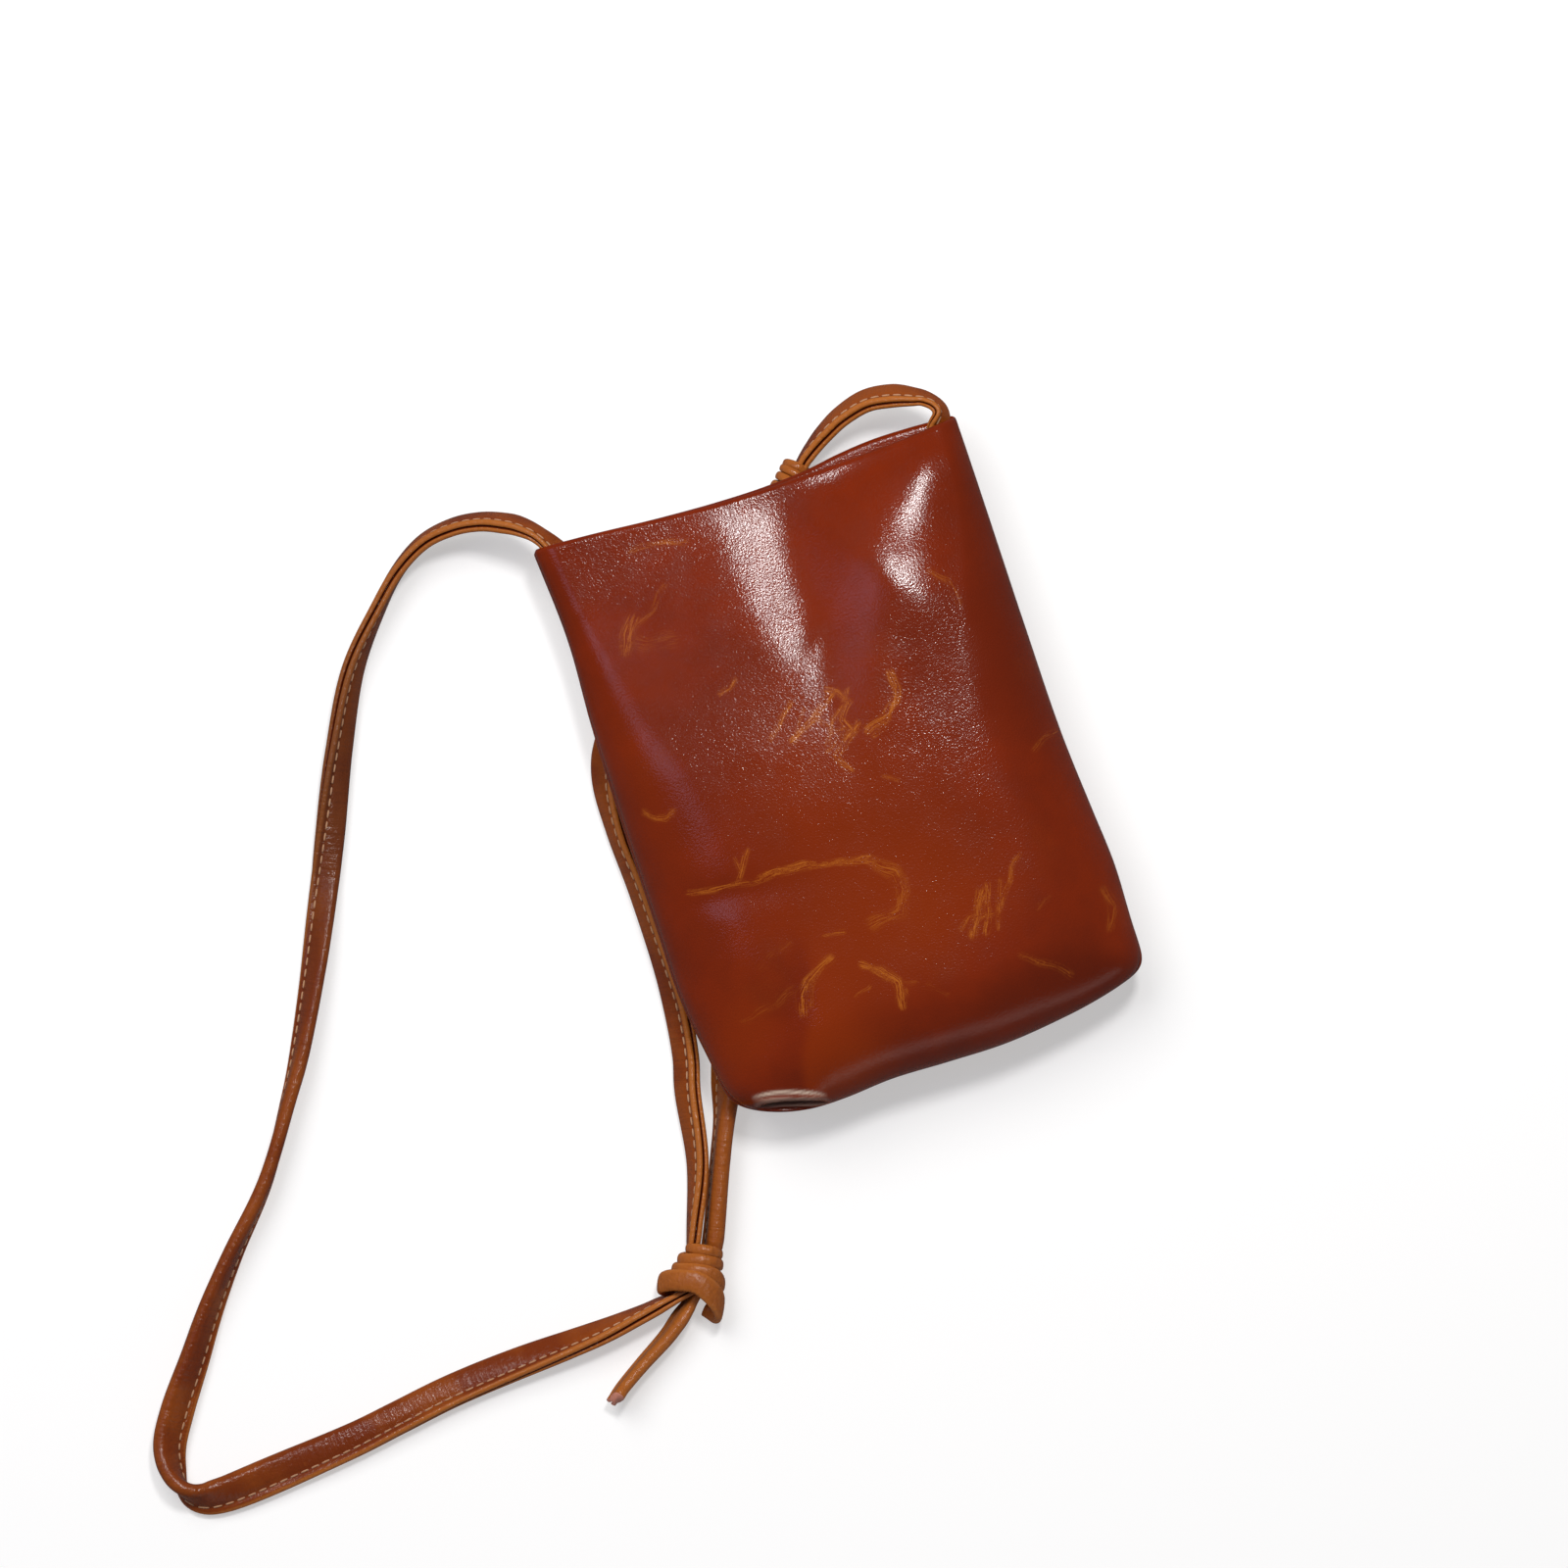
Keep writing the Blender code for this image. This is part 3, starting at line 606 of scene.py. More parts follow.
def leather_material():
    """Glossy oil-wax leather: red-brown, orange where it is pulled and in zones, with painted shade and
    painted highlights in places, and a fine pebbled grain.
    """
    material, tree, shader = new_material("red_brown_leather", 0.3)
    here = place(tree)
    clouds = noise(tree, here, 0.022, 4.0, 0.6)
    mottle = noise(tree, here, 0.11, 5.0, 0.65)
    colour = mix(tree, ramp(tree, clouds, 0.36, 0.64), (0.150, 0.0135, 0.0011), (0.195, 0.0172, 0.0009))
    colour = mix(tree, ramp(tree, mottle, 0.35, 0.75, 0, 0.45), colour, (0.150, 0.0135, 0.0012))
    # Orange zones, and darker zones of painted shade.
    tone_and_shade = attribute(tree, "tone_and_shade")
    colour = mix(tree, ramp(tree, tone_and_shade, 0.05, 1.0, 0, 0.85), colour, (0.235, 0.0250, 0.0003))
    painted_shade = ramp(tree, maths(tree, "MULTIPLY", tone_and_shade, -1.0), 0.05, 1.0, 0, 0.8)
    colour = mix(tree, painted_shade, colour, (0.080, 0.0070, 0.0008))
    # Pull-up marks: fibres along each stroke, torn by a web.
    strokes = tree.nodes.new("ShaderNodeCombineXYZ")
    tree.links.new(maths(tree, "MULTIPLY", attribute(tree, "pull_across"), 3.6), strokes.inputs["X"])
    tree.links.new(maths(tree, "MULTIPLY", attribute(tree, "pull_along"), 0.13), strokes.inputs["Y"])
    fibres = noise(tree, strokes.outputs["Vector"], 1.0, 3.0, 0.6, 0.5)
    web = noise(tree, here, 1.3, 4.0, 0.7, 1.5)
    torn = maths(tree, "ADD", maths(tree, "MULTIPLY", fibres, 0.75), maths(tree, "MULTIPLY", web, 0.25))
    pull = maths(tree, "MULTIPLY", attribute(tree, "pull"), ramp(tree, torn, 0.45, 0.57, 0.08, 1.0))
    colour = mix(tree, ramp(tree, pull, 0.04, 0.8, 0, 0.9), colour, (0.43, 0.115, 0.0100))
    # Hair-fine scratches, in patches.
    hair = noise(tree, here, 0.55, 6.0, 0.8, 2.5)
    lines = maths(tree, "ABSOLUTE", maths(tree, "SUBTRACT", hair, 0.5))
    patches = ramp(tree, noise(tree, here, 0.035, 2.0), 0.58, 0.72)
    scratches = maths(tree, "MULTIPLY", ramp(tree, lines, 0.0, 0.012, 0.3, 0.0), patches)
    colour = mix(tree, scratches, colour, (0.34, 0.085, 0.010))
    # A pale painted highlight on the collapsed corner's rim.
    colour = mix(tree, attribute(tree, "sheen_and_wear"), colour, (0.85, 0.66, 0.52))
    tree.links.new(colour, shader.inputs["Base Color"])
    # The pebbled grain, and slow waves under it.
    grain = node(tree, "ShaderNodeTexVoronoi", Scale=1.7)
    tree.links.new(here, grain.inputs["Vector"])
    pebbles = bumped(tree, shader, noise(tree, here, 1.7, 1.5, 0.6), 0.09 * MM, 1.0)
    fine = bumped(tree, shader, grain.outputs["Distance"], 0.02 * MM, 0.8, pebbles)
    bumped(tree, shader, noise(tree, here, 0.09, 3.0, 0.5), 0.2 * MM, 0.5, fine)
    tree.links.new(ramp(tree, mottle, 0.3, 0.8, 0.14, 0.21), shader.inputs["Roughness"])
    return material


def strap_material():
    """The strap's leather: brown on its broad faces, orange along its fold and open edge from wear and a
    painted sheen, with painted shade in its grooves.
    """
    material, tree, shader = new_material("tan_strap_leather", 0.2)
    here = place(tree)
    clouds = noise(tree, here, 0.03, 3.0, 0.6)
    colour = mix(tree, ramp(tree, clouds, 0.4, 0.6), (0.170, 0.027, 0.0035), (0.255, 0.054, 0.0060))
    patchy = maths(tree, "MULTIPLY", noise(tree, here, 0.5, 4.0, 0.7), 0.35)
    # Lighter along the fold and the open edge: wear, with a painted sheen.
    sheen_and_wear = maths(tree, "ADD", attribute(tree, "edge"), patchy)
    colour = mix(tree, ramp(tree, sheen_and_wear, 0.45, 1.15, 0, 0.9), colour, (0.43, 0.132, 0.022))
    creases = noise(tree, here, 0.8, 5.0, 0.75, 1.0)
    colour = mix(tree, ramp(tree, creases, 0.55, 0.75, 0, 0.35), colour, (0.34, 0.09, 0.012))
    shade = maths(tree, "MULTIPLY", attribute(tree, "shade"), 0.75)
    colour = mix(tree, shade, colour, (0.095, 0.026, 0.0095))
    # Painted shade in the gap between the two layers and along the stitched furrow.
    colour = mix(tree, ramp(tree, attribute(tree, "groove_shade"), 0.1, 0.9), colour, (0.085, 0.0105, 0.0025))
    tree.links.new(colour, shader.inputs["Base Color"])
    # Wrinkles, fine grain, and creases across the strip.
    wrinkles = bumped(tree, shader, noise(tree, here, 0.55, 3.0, 0.6, 0.6), 0.35 * MM, 0.8)
    fine = bumped(tree, shader, noise(tree, here, 1.6, 4.0, 0.7), 0.09 * MM, 0.8, wrinkles)
    folds = node(tree, "ShaderNodeTexNoise", Scale=0.55, Detail=4.0, Roughness=0.6)
    folds.noise_dimensions = "1D"
    tree.links.new(attribute(tree, "along"), folds.inputs["W"])
    bumped(tree, shader, folds.outputs["Fac"], 0.35 * MM, 0.7, fine)
    return material


def thread_material():
    material, tree, shader = new_material("pale_thread", 0.55)
    here = place(tree)
    twist = node(tree, "ShaderNodeTexWave", Scale=1.6, Distortion=2.0)
    tree.links.new(here, twist.inputs["Vector"])
    colour = mix(tree, twist.outputs["Fac"], (0.40, 0.185, 0.085), (0.62, 0.36, 0.20))
    tree.links.new(colour, shader.inputs["Base Color"])
    bumped(tree, shader, twist.outputs["Fac"], 0.08 * MM, 0.6)
    shader.inputs["Sheen Weight"].default_value = 0.2
    return material


def raw_material():
    """The cut end of the strap: pinkish raw fibre."""
    material, tree, shader = new_material("raw_leather_edge", 0.8)
    here = place(tree)
    colour = mix(tree, noise(tree, here, 1.4, 5.0, 0.7), (0.42, 0.12, 0.075), (0.72, 0.33, 0.24))
    tree.links.new(colour, shader.inputs["Base Color"])
    bumped(tree, shader, noise(tree, here, 3.0, 4.0, 0.7), 0.15 * MM, 0.9)
    return material


def cloth_material():
    """A plain woven cotton lining."""
    material, tree, shader = new_material("brown_lining_cotton", 0.85)
    here = place(tree)
    warp = node(tree, "ShaderNodeTexWave", Scale=0.55, Distortion=0.6)
    weft = node(tree, "ShaderNodeTexWave", Scale=0.55, Distortion=0.6)
    weft.bands_direction = "Y"
    for wave in (warp, weft):
        tree.links.new(here, wave.inputs["Vector"])
    weave = maths(tree, "MAXIMUM", warp.outputs["Fac"], weft.outputs["Fac"])
    colour = mix(tree, weave, (0.030, 0.016, 0.010), (0.085, 0.046, 0.030))
    tree.links.new(colour, shader.inputs["Base Color"])
    bumped(tree, shader, weave, 0.12 * MM, 0.8)
    shader.inputs["Sheen Weight"].default_value = 0.15
    return material


def metal_material():
    """Brushed, plated brass."""
    material, tree, shader = new_material("brushed_brass", 0.3, 1.0)
    here = place(tree, stretch=(1, 12, 1))
    brush = noise(tree, here, 0.9, 4.0, 0.7)
    colour = mix(tree, brush, (0.48, 0.36, 0.17), (0.72, 0.58, 0.32))
    tree.links.new(colour, shader.inputs["Base Color"])
    tree.links.new(ramp(tree, brush, 0.2, 0.8, 0.22, 0.42), shader.inputs["Roughness"])
    bumped(tree, shader, brush, 0.02 * MM, 0.4)
    return material


# ---------------------------------------------------------------- the bag


def set_weights(obj, share):
    """Works out share, a function of the points that says how far each of them would follow a second body,
    for the object's points; the result is not kept.
    """
    points = np.array([v.co for v in obj.data.vertices], float)
    share(points).astype(np.float32)


def opening_share(points):
    """How far each point would bow out with the front when the mouth opens: not at its side seams, and fully
    in the middle.
    """
    away = np.clip((np.abs(points[:, 0]) - 9 * MM) / (HALF_WIDTH - 9 * MM), 0, 1)
    return (1 - away**2) ** 1.2


def place_on_bag(obj, is_front, replaced):
    if is_front:
        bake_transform(obj)
        set_weights(obj, opening_share)
    else:
        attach(obj, "bag")
    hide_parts(replaced)


def make_leather(is_front, material):
    """One panel: its outer face, the turned hem at the mouth, its inner face and its seam allowance."""
    outer = with_allowance(panel_grid(is_front), ALLOWANCE)
    inner = panel_grid(is_front, depth=LEATHER, hem=HEM_THICKNESS - LEATHER)
    inner = with_allowance(inner, ALLOWANCE - LEATHER)
    upward = unit(outer[-1] - outer[-3])
    rims = []
    for angle in (20, 45, 70, 90, 110, 135, 160):
        turn = math.radians(angle)
        layer = (outer + inner) / 2 + (outer - inner) / 2 * math.cos(turn)
        layer[-1] += upward * math.sin(turn) * HEM_THICKNESS / 2
        rims.append(layer)
    name = "front" if is_front else "back"
    marks = leather_marks(outer) if is_front else None
    obj = closed_sheet(f"{name}_leather", [outer, *rims, inner], material, not is_front, marks)
    place_on_bag(obj, is_front, f"{name}_panel")


def make_layer(name, is_front, low, high, depths, material, replaced):
    """A facing or a lining: a thinner sheet inside the leather."""
    layers = [panel_grid(is_front, low, high, 0.997, FACING_GRID, depth) for depth in depths]
    obj = closed_sheet(name, layers, material, not is_front)
    place_on_bag(obj, is_front, replaced)
    return obj


def make_bag(leather, cloth):
    for is_front, name in ((True, "front"), (False, "back")):
        make_leather(is_front, leather)
        make_layer(f"{name}_inner_facing", is_front, FACING_LOW, MOUTH_Y - 2.5 * MM, FACING_DEPTHS,
                   leather, f"{name}_facing")
        lining = make_layer(f"{name}_cloth_lining", is_front, None, LINING_TOP, LINING_DEPTHS,
                            cloth, f"lining_{name}")


# ---------------------------------------------------------------- the strap

# The same routes as the frame's, in metres: (x, y, height of the lowest edge), and the roll in degrees from
# lying flat, as the direction from the fold to the open edge.
LONG_LOOP = [
    (-0.0583, 0.0755, 0.0182, 0), (-0.0588, 0.0845, 0.0182, 0), (-0.0602, 0.0905, 0.0180, 12),
    (-0.0622, 0.0955, 0.0174, 40), (-0.0653, 0.1005, 0.0164, 58), (-0.0690, 0.1044, 0.0148, 64),
    (-0.0738, 0.1078, 0.0124, 68), (-0.0815, 0.1112, 0.0092, 72), (-0.0905, 0.1126, 0.0066, 75),
    (-0.1005, 0.1113, 0.0038, 80), (-0.1105, 0.106, 0.0015, 86), (-0.1200, 0.0975, 0.0004, 93),
    (-0.1345, 0.081, 0.0002, 112), (-0.147, 0.0585, 0.0002, 132), (-0.158, 0.0355, 0.0002, 158),
    (-0.1670, 0.017, 0.0002, 190), (-0.1775, -0.004, 0.0002, 222), (-0.1890, -0.025, 0.0002, 245),
    (-0.198, -0.039, 0.0002, 260), (-0.213, -0.0605, 0.0002, 272), (-0.2302, -0.0785, 0.0002, 286),
    (-0.2421, -0.092, 0.0002, 300), (-0.2525, -0.1055, 0.0002, 314), (-0.2630, -0.119, 0.0002, 325),
    (-0.2692, -0.1295, 0.0002, 316), (-0.2700, -0.1395, 0.0002, 280), (-0.2660, -0.1462, 0.0002, 232),
    (-0.258, -0.1484, 0.0002, 205), (-0.24, -0.1478, 0.0002, 184), (-0.215, -0.146, 0.0002, 173),
    (-0.198, -0.1438, 0.0002, 166), (-0.18, -0.1415, 0.0002, 160), (-0.159, -0.1402, 0.0002, 150),
    (-0.132, -0.1396, 0.0002, 122), (-0.117, -0.1386, 0.0002, 102), (-0.1084, -0.1376, 0.0002, 95),
]
LONG_RETURN = [
    (-0.0937, -0.1236, 0.0002, 94), (-0.0913, -0.118, 0.0002, 98), (-0.0840, -0.0996, 0.0002, 114),
    (-0.0798, -0.0782, 0.0002, 126), (-0.0766, -0.067, 0.0002, 128), (-0.0743, -0.0525, 0.0002, 128),
    (-0.0733, -0.037, 0.0002, 120), (-0.073, -0.014, 0.0002, 116), (-0.0735, 0.006, 0.0002, 114),
    (-0.0718, 0.0225, 0.0002, 130), (-0.0662, 0.0335, 0.0002, 155), (-0.0545, 0.0455, 0.0002, 176),
    (-0.035, 0.0605, 0.0002, 178), (-0.015, 0.073, 0.0002, 150), (-0.0026, 0.0812, 0.0004, 110),
]
SHORT_LOOP = [
    (0.0583, 0.0755, 0.0182, 0), (0.0594, 0.0845, 0.0182, 0), (0.0620, 0.0905, 0.0177, 20),
    (0.0645, 0.0950, 0.0168, 58), (0.0642, 0.0980, 0.0163, 68), (0.0616, 0.1012, 0.0152, 64),
    (0.0584, 0.1031, 0.0142, 60), (0.0514, 0.1060, 0.0120, 59), (0.0436, 0.1071, 0.0098, 62),
    (0.0350, 0.1051, 0.0070, 68), (0.0280, 0.1017, 0.0045, 74), (0.0238, 0.0990, 0.0030, 80),
    (0.0203, 0.0964, 0.0022, 84),
]
SHORT_RUN = [
    (0.0046, 0.077, 0.0004, 110), (-0.0012, 0.066, 0.0003, 150), (-0.01, 0.046, 0.0002, 178),
    (-0.025, 0.012, 0.0002, 180), (-0.04, -0.022, 0.0002, 180), (-0.055, -0.056, 0.0002, 184),
    (-0.0610, -0.0675, 0.0002, 198), (-0.0664, -0.078, 0.0002, 228), (-0.0713, -0.089, 0.0002, 254),
    (-0.0776, -0.1025, 0.0002, 258), (-0.0857, -0.1206, 0.0002, 256), (-0.0883, -0.1258, 0.0002, 254),
]
LOWER_TAIL = [
    (-0.1013, -0.1408, 0.0008, 245), (-0.1065, -0.1446, 0.0006, 250), (-0.1116, -0.1481, 0.0004, 255),
    (-0.1207, -0.1531, 0.0006, 260), (-0.1285, -0.1577, 0.0022, 262), (-0.1322, -0.1604, 0.0048, 262),
]
UPPER_TAIL = [(0.020, 0.0794, 0.0016, 20), (0.026, 0.0756, 0.0009, 10), (0.033, 0.072, 0.0003, 0)]
# Where the folded strip is wider or narrower: the place, how many times as wide, and how far that reaches.
STRAP_SQUEEZES = [
    ((-0.062, 0.095), 0.72, 18 * MM), ((0.064, 0.096), 0.72, 16 * MM), ((-0.168, 0.012), 0.84, 75 * MM),
    ((-0.256, -0.148), 1.12, 60 * MM),
]
LOWER_SLIDE = Vector((0.3998, 0.9166, 0))
UPPER_SLIDE = Vector((0.65, 0.7599, 0))
LOWER_MIDDLE = np.array([-95.5, -135.5, 7.8]) * MM
UPPER_MIDDLE = np.array([10.4, 87.6, 6.8]) * MM


def through_keys(keys, count):
    """A smooth line of values through rows of keys, count of them from each row to the next."""
    keys = np.array(keys, float)
    ends = np.concatenate([[2 * keys[0] - keys[1]], keys, [2 * keys[-1] - keys[-2]]])
    t = np.linspace(0, 1, count, endpoint=False)[:, None]
    curves = [
        0.5 * (2 * b + (c - a) * t + (2 * a - 5 * b + 4 * c - d) * t**2 + (3 * b - a - 3 * c + d) * t**3)
        for a, b, c, d in zip(ends, ends[1:], ends[2:], ends[3:])
    ]
    return np.concatenate([*curves, keys[-1:]])


def smooth_route(route):
    """Evenly spaced (x, y, z, roll) points on a smooth curve through a route, z at the strap's middle."""
    fine = through_keys([(x, y, z, math.radians(roll)) for x, y, z, roll in route], 24)
    length = np.concatenate([[0], np.cumsum(np.linalg.norm(np.diff(fine[:, :3], axis=0), axis=1))])
    at = np.linspace(0, length[-1], round(length[-1] / (PATH_STEP * MM)) + 1)
    path = np.stack([np.interp(at, length, fine[:, k]) for k in range(4)], 1)
    path[:, 2] += (STRAP_THICKNESS + (STRAP_WIDTH - STRAP_THICKNESS) * np.abs(np.sin(path[:, 3]))) / 2
    return path


def strap_frames(path):
    """At each point of a path: the direction from the fold to the open edge, and out of the upper face."""
    along = unit(np.gradient(path[:, :3], axis=0))
    left = unit(np.cross([0, 0, 1], along))
    up = np.cross(along, left)
    roll = path[:, 3:4]
    open_way = left * np.cos(roll) + up * np.sin(roll)
    return open_way, np.cross(along, open_way)


# Half of the folded strip's section, as (towards the open edge, half thickness): the round fold, the stitched
# furrow, one layer's edge and the gap between the two layers.
FOLD = [(-3.05 - 2.2 * math.cos(a), 2.2 * math.sin(a)) for a in np.radians(range(0, 91, 18))]
STRAP_HALF = np.array(FOLD + [
    (-1.5, 2.18), (0, 2.08), (1.1, 1.9), (1.9, 1.62), (2.5, 1.42), (3.0, 1.6), (3.5, 1.88), (4.1, 2.0),
    (4.7, 1.9), (5.15, 1.5), (5.32, 0.98), (5.22, 0.52), (4.9, 0.24), (4.3, 0.13), (3.4, 0.1),
])


def mirrored(half):
    """A section's whole outline from its upper half, with the points on the middle line only once."""
    lower = half[::-1] * [1, -1]
    return np.concatenate([half, lower[lower[:, 1] != 0]])


def sweep(name, path, material, squeeze, sheen_and_wear=0.0):
    """The folded strip along a path, with numbers for its shader."""
    open_way, out = strap_frames(path)
    shape = mirrored(STRAP_HALF) * MM
    travelled = np.arange(len(path)) * PATH_STEP
    wave = 1 + 0.035 * wobble(travelled, np.zeros(len(path)), 9.0, len(path))
    width, height = squeeze * wave, squeeze * (2 - wave)
    points = path[:, None, :3] + shape[None, :, :1] * (open_way * width[:, None])[:, None]
    points = points + shape[None, :, 1:] * (out * height[:, None])[:, None]
    points[..., 2] = np.maximum(points[..., 2], FLOOR_CLEARANCE)
    across = shape[:, 0] / MM
    # Worn, with a painted sheen, along the fold and the open edge, and painted shade between the two layers
    # and along the stitches.
    edge = np.clip(np.maximum((-across - 2.6) / 6, (across - 3.2) / 1.4), sheen_and_wear, 1)
    groove_shade = np.where((np.abs(shape[:, 1]) < 0.4 * MM) & (across > 3), 1.0, 0.0)
    groove_shade = np.maximum(groove_shade, 0.35 * ridge(across - STITCH_LINE / MM, 0.35))
    return tube(name, points, material, {
        "edge": edge,
        "groove_shade": groove_shade,
        "along": travelled[:, None],
        "shade": bump(points[..., 0], points[..., 1], (-146, 48), (46, 62), -28),
    })


def capsule(start, end, radius, sides=6):
    """Points and faces of a small round-ended rod."""
    middle, half = (start + end) / 2, (end - start) / 2
    way = unit(half)
    across = unit(np.cross(way, [0.3, 0.2, 0.93]))  # any direction that no stitch has
    other = np.cross(way, across)
    rings = []
    for share, size in ((-1.0, 0.35), (-0.8, 0.85), (0.0, 1.1), (0.8, 0.85), (1.0, 0.35)):
        for k in range(sides):
            turn = math.tau * k / sides
            spoke = across * math.cos(turn) + other * math.sin(turn)
            rings.append(middle + half * share + spoke * radius * size)
    return rings, tube_faces(5, sides)


def stitches(name, path, material, squeeze, trim):
    """A row of stitches on each face of the strip, as one object."""
    open_way, out = strap_frames(path)
    length = np.concatenate([[0], np.cumsum(np.linalg.norm(np.diff(path[:, :3], axis=0), axis=1))])
    points, faces = [], []
    for face in (1, -1):
        line = path[:, :3] + (open_way * STITCH_LINE + out * face * STITCH_HEIGHT) * squeeze[:, None]
        at = trim + STITCH_PITCH / 2
        while at + STITCH_LENGTH < length[-1] - trim:
            both = np.array([at, at + STITCH_LENGTH])
            start, end = np.stack([np.interp(both, length, line[:, k]) for k in range(3)], 1)
            more, quads = capsule(start, end, STITCH_RADIUS)
            faces += [[i + len(points) for i in quad] for quad in quads]
            points += more
            at += STITCH_PITCH
    return add_object(name, np.array(points), faces, material)


def follow_knot(obj, middle, near, far):
    """Bakes the strip in place and works out how far each point would follow the knot beside it, less and
    less from near to far along it; nothing keeps that.
    """
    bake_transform(obj)
    set_weights(obj, lambda points: 1 - smooth(np.linalg.norm(points[:, :2] - middle[:2], axis=1), near, far))


def toward(path, target, count=9):
    """The path with a stretch added from its nearer end into a knot's middle."""
    at_start = np.linalg.norm(path[0, :3] - target) < np.linalg.norm(path[-1, :3] - target)
    end = path[0] if at_start else path[-1]
    goal = np.append(target, end[3])
    extra = end + (goal - end) * np.linspace(0, 1, count + 1)[1:, None]
    return np.concatenate([extra[::-1], path]) if at_start else np.concatenate([path, extra])


def squeezed(path, target, least=0.78, reach=16 * MM):
    """How much the strip is pinched close to a place."""
    away = np.linalg.norm(path[:, :len(target)] - target, axis=1)
    return least + (1 - least) * smooth(away, 5 * MM, reach)


def make_strand(name, route, part, knot, replaced, far_end, wider, sheen_and_wear, leather, thread):
    """A stretch of strap, part being its shares of the route, with a record of its facts. It starts in the
    bag or in a knot.
    """
    middle, _, _, _, _, reach = KNOTS[knot]
    path = smooth_route(route)
    path = path[int(part[0] * len(path)):int(part[1] * len(path)) + 1]
    path = toward(path, middle)
    pinch = squeezed(path, middle) * wider
    for squeeze_at, times, squeeze_reach in STRAP_SQUEEZES:
        pinch = pinch * squeezed(path, squeeze_at, times, squeeze_reach)
    strap = sweep(name, path, leather, pinch, sheen_and_wear)
    seam = stitches(f"{name}_stitches", path, thread, pinch, 1.5 * MM)
    for piece, slot_name in ((strap, "strap_leather"), (seam, "thread")):
        follow_knot(piece, middle, 14 * MM, reach)
    if replaced:
        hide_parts(*replaced)
    line = path[:, :3]
    length = float(np.linalg.norm(np.diff(line, axis=0), axis=1).sum())
    return strap, {
        "exit": tuple(line[0]),
        "length": round(length, 3),
        "diameter": STRAP_WIDTH,
        "far_end": far_end,
        "stiffness": "medium",
        "lay": "loose",
        "path": line.tolist(),
        "with_pieces": [seam],
    }


# ---------------------------------------------------------------- the knots

# Half of a winding's section, as shares of its half width and of its half thickness.
WRAP_HALF = np.array([
    (-1.0, 0.0), (-0.95, 0.3), (-0.83, 0.58), (-0.62, 0.8), (-0.33, 0.95), (0.0, 1.0), (0.33, 0.98),
    (0.62, 0.9), (0.83, 0.7), (0.95, 0.38), (1.0, 0.0),
])
WRAP_THICKNESS = 1.35 * MM  # half of it


def make_knot(name, middle, along, turns, material, scale):
    """A sliding knot: one strip wound round the strap.

    Each row of turns is one place on the winding: its angle round the strap, how far along the strap it
    is, how far it stands to the side and above, the shift of its middle and its half width, in millimetres.
    """
    angle, forward_by, wide, high, shift, broad_by = through_keys(turns, 12).T[..., None]
    angle = np.radians(angle)
    forward = np.array([along[0], along[1], 0.0])
    right = np.array([forward[1], -forward[0], 0.0])
    up = np.array([0, 0, 1.0])
    size = MM * scale
    round_it = forward * forward_by + right * (shift + wide * np.cos(angle)) + up * high * np.sin(angle)
    path = middle + round_it * size
    run = unit(np.gradient(path, axis=0))
    outward = right * np.cos(angle) / wide + up * np.sin(angle) / high
    outward = unit(outward - run * (outward * run).sum(1, keepdims=True))
    broad = np.cross(run, outward) * broad_by * size
    shape = mirrored(WRAP_HALF)
    points = path[:, None] + shape[None, :, :1] * broad[:, None]
    points = points + shape[None, :, 1:] * outward[:, None] * WRAP_THICKNESS * scale
    points[..., 2] = np.maximum(points[..., 2], 0.3 * MM)
    return tube(name, points, material, {
        # Wear, with a painted sheen, over all the knot and most at the sides of its winding.
        "edge": 0.7 + 0.3 * np.clip((np.abs(shape[:, 0]) - 0.7) / 0.3, 0, 1),
        "groove_shade": 0.0,
        "along": np.arange(len(path))[:, None] * PATH_STEP,
    })


# angle, along, to the side, above, shift of the middle, half width
LOWER_TURNS = [
    (240, 10.6, 4.0, 4.2, 0.2, 1.5), (180, 10.9, 4.3, 4.4, 0.1, 1.6), (90, 11.0, 4.5, 4.8, 0.1, 1.7),
    (0, 9.7, 4.8, 4.6, 0.2, 1.7), (-90, 8.6, 5.2, 4.5, -0.2, 1.8), (-180, 7.4, 5.8, 4.8, -0.7, 1.9),
    (-270, 7.8, 5.8, 5.4, -0.6, 1.9), (-360, 6.4, 5.7, 5.2, -0.3, 1.9), (-450, 5.2, 6.2, 5.2, -0.6, 2.0),
    (-540, 4.0, 6.9, 5.6, -1.2, 2.2), (-630, 4.4, 7.0, 6.2, -0.9, 2.3), (-675, 3.2, 6.9, 6.2, -0.6, 2.3),
    (-720, 0.6, 6.8, 5.8, -0.4, 2.4), (-810, -1.6, 8.0, 5.4, -1.4, 2.7), (-870, -1.8, 9.2, 5.6, -2.6, 3.0),
    (-910, -0.4, 9.6, 6.0, -2.5, 3.3), (-945, 0.9, 9.0, 7.0, -2.1, 3.4), (-990, 1.0, 8.4, 7.6, -1.5, 3.5),
    (-1020, -1.6, 8.0, 7.6, -0.9, 3.7), (-1045, -4.8, 7.4, 7.2, -0.3, 3.7), (-1070, -8.0, 6.4, 6.4, 0.2, 3.2),
    (-1100, -9.6, 5.4, 5.6, 0.2, 2.5), (-1150, -8.2, 4.8, 5.4, 0.2, 2.1),
]
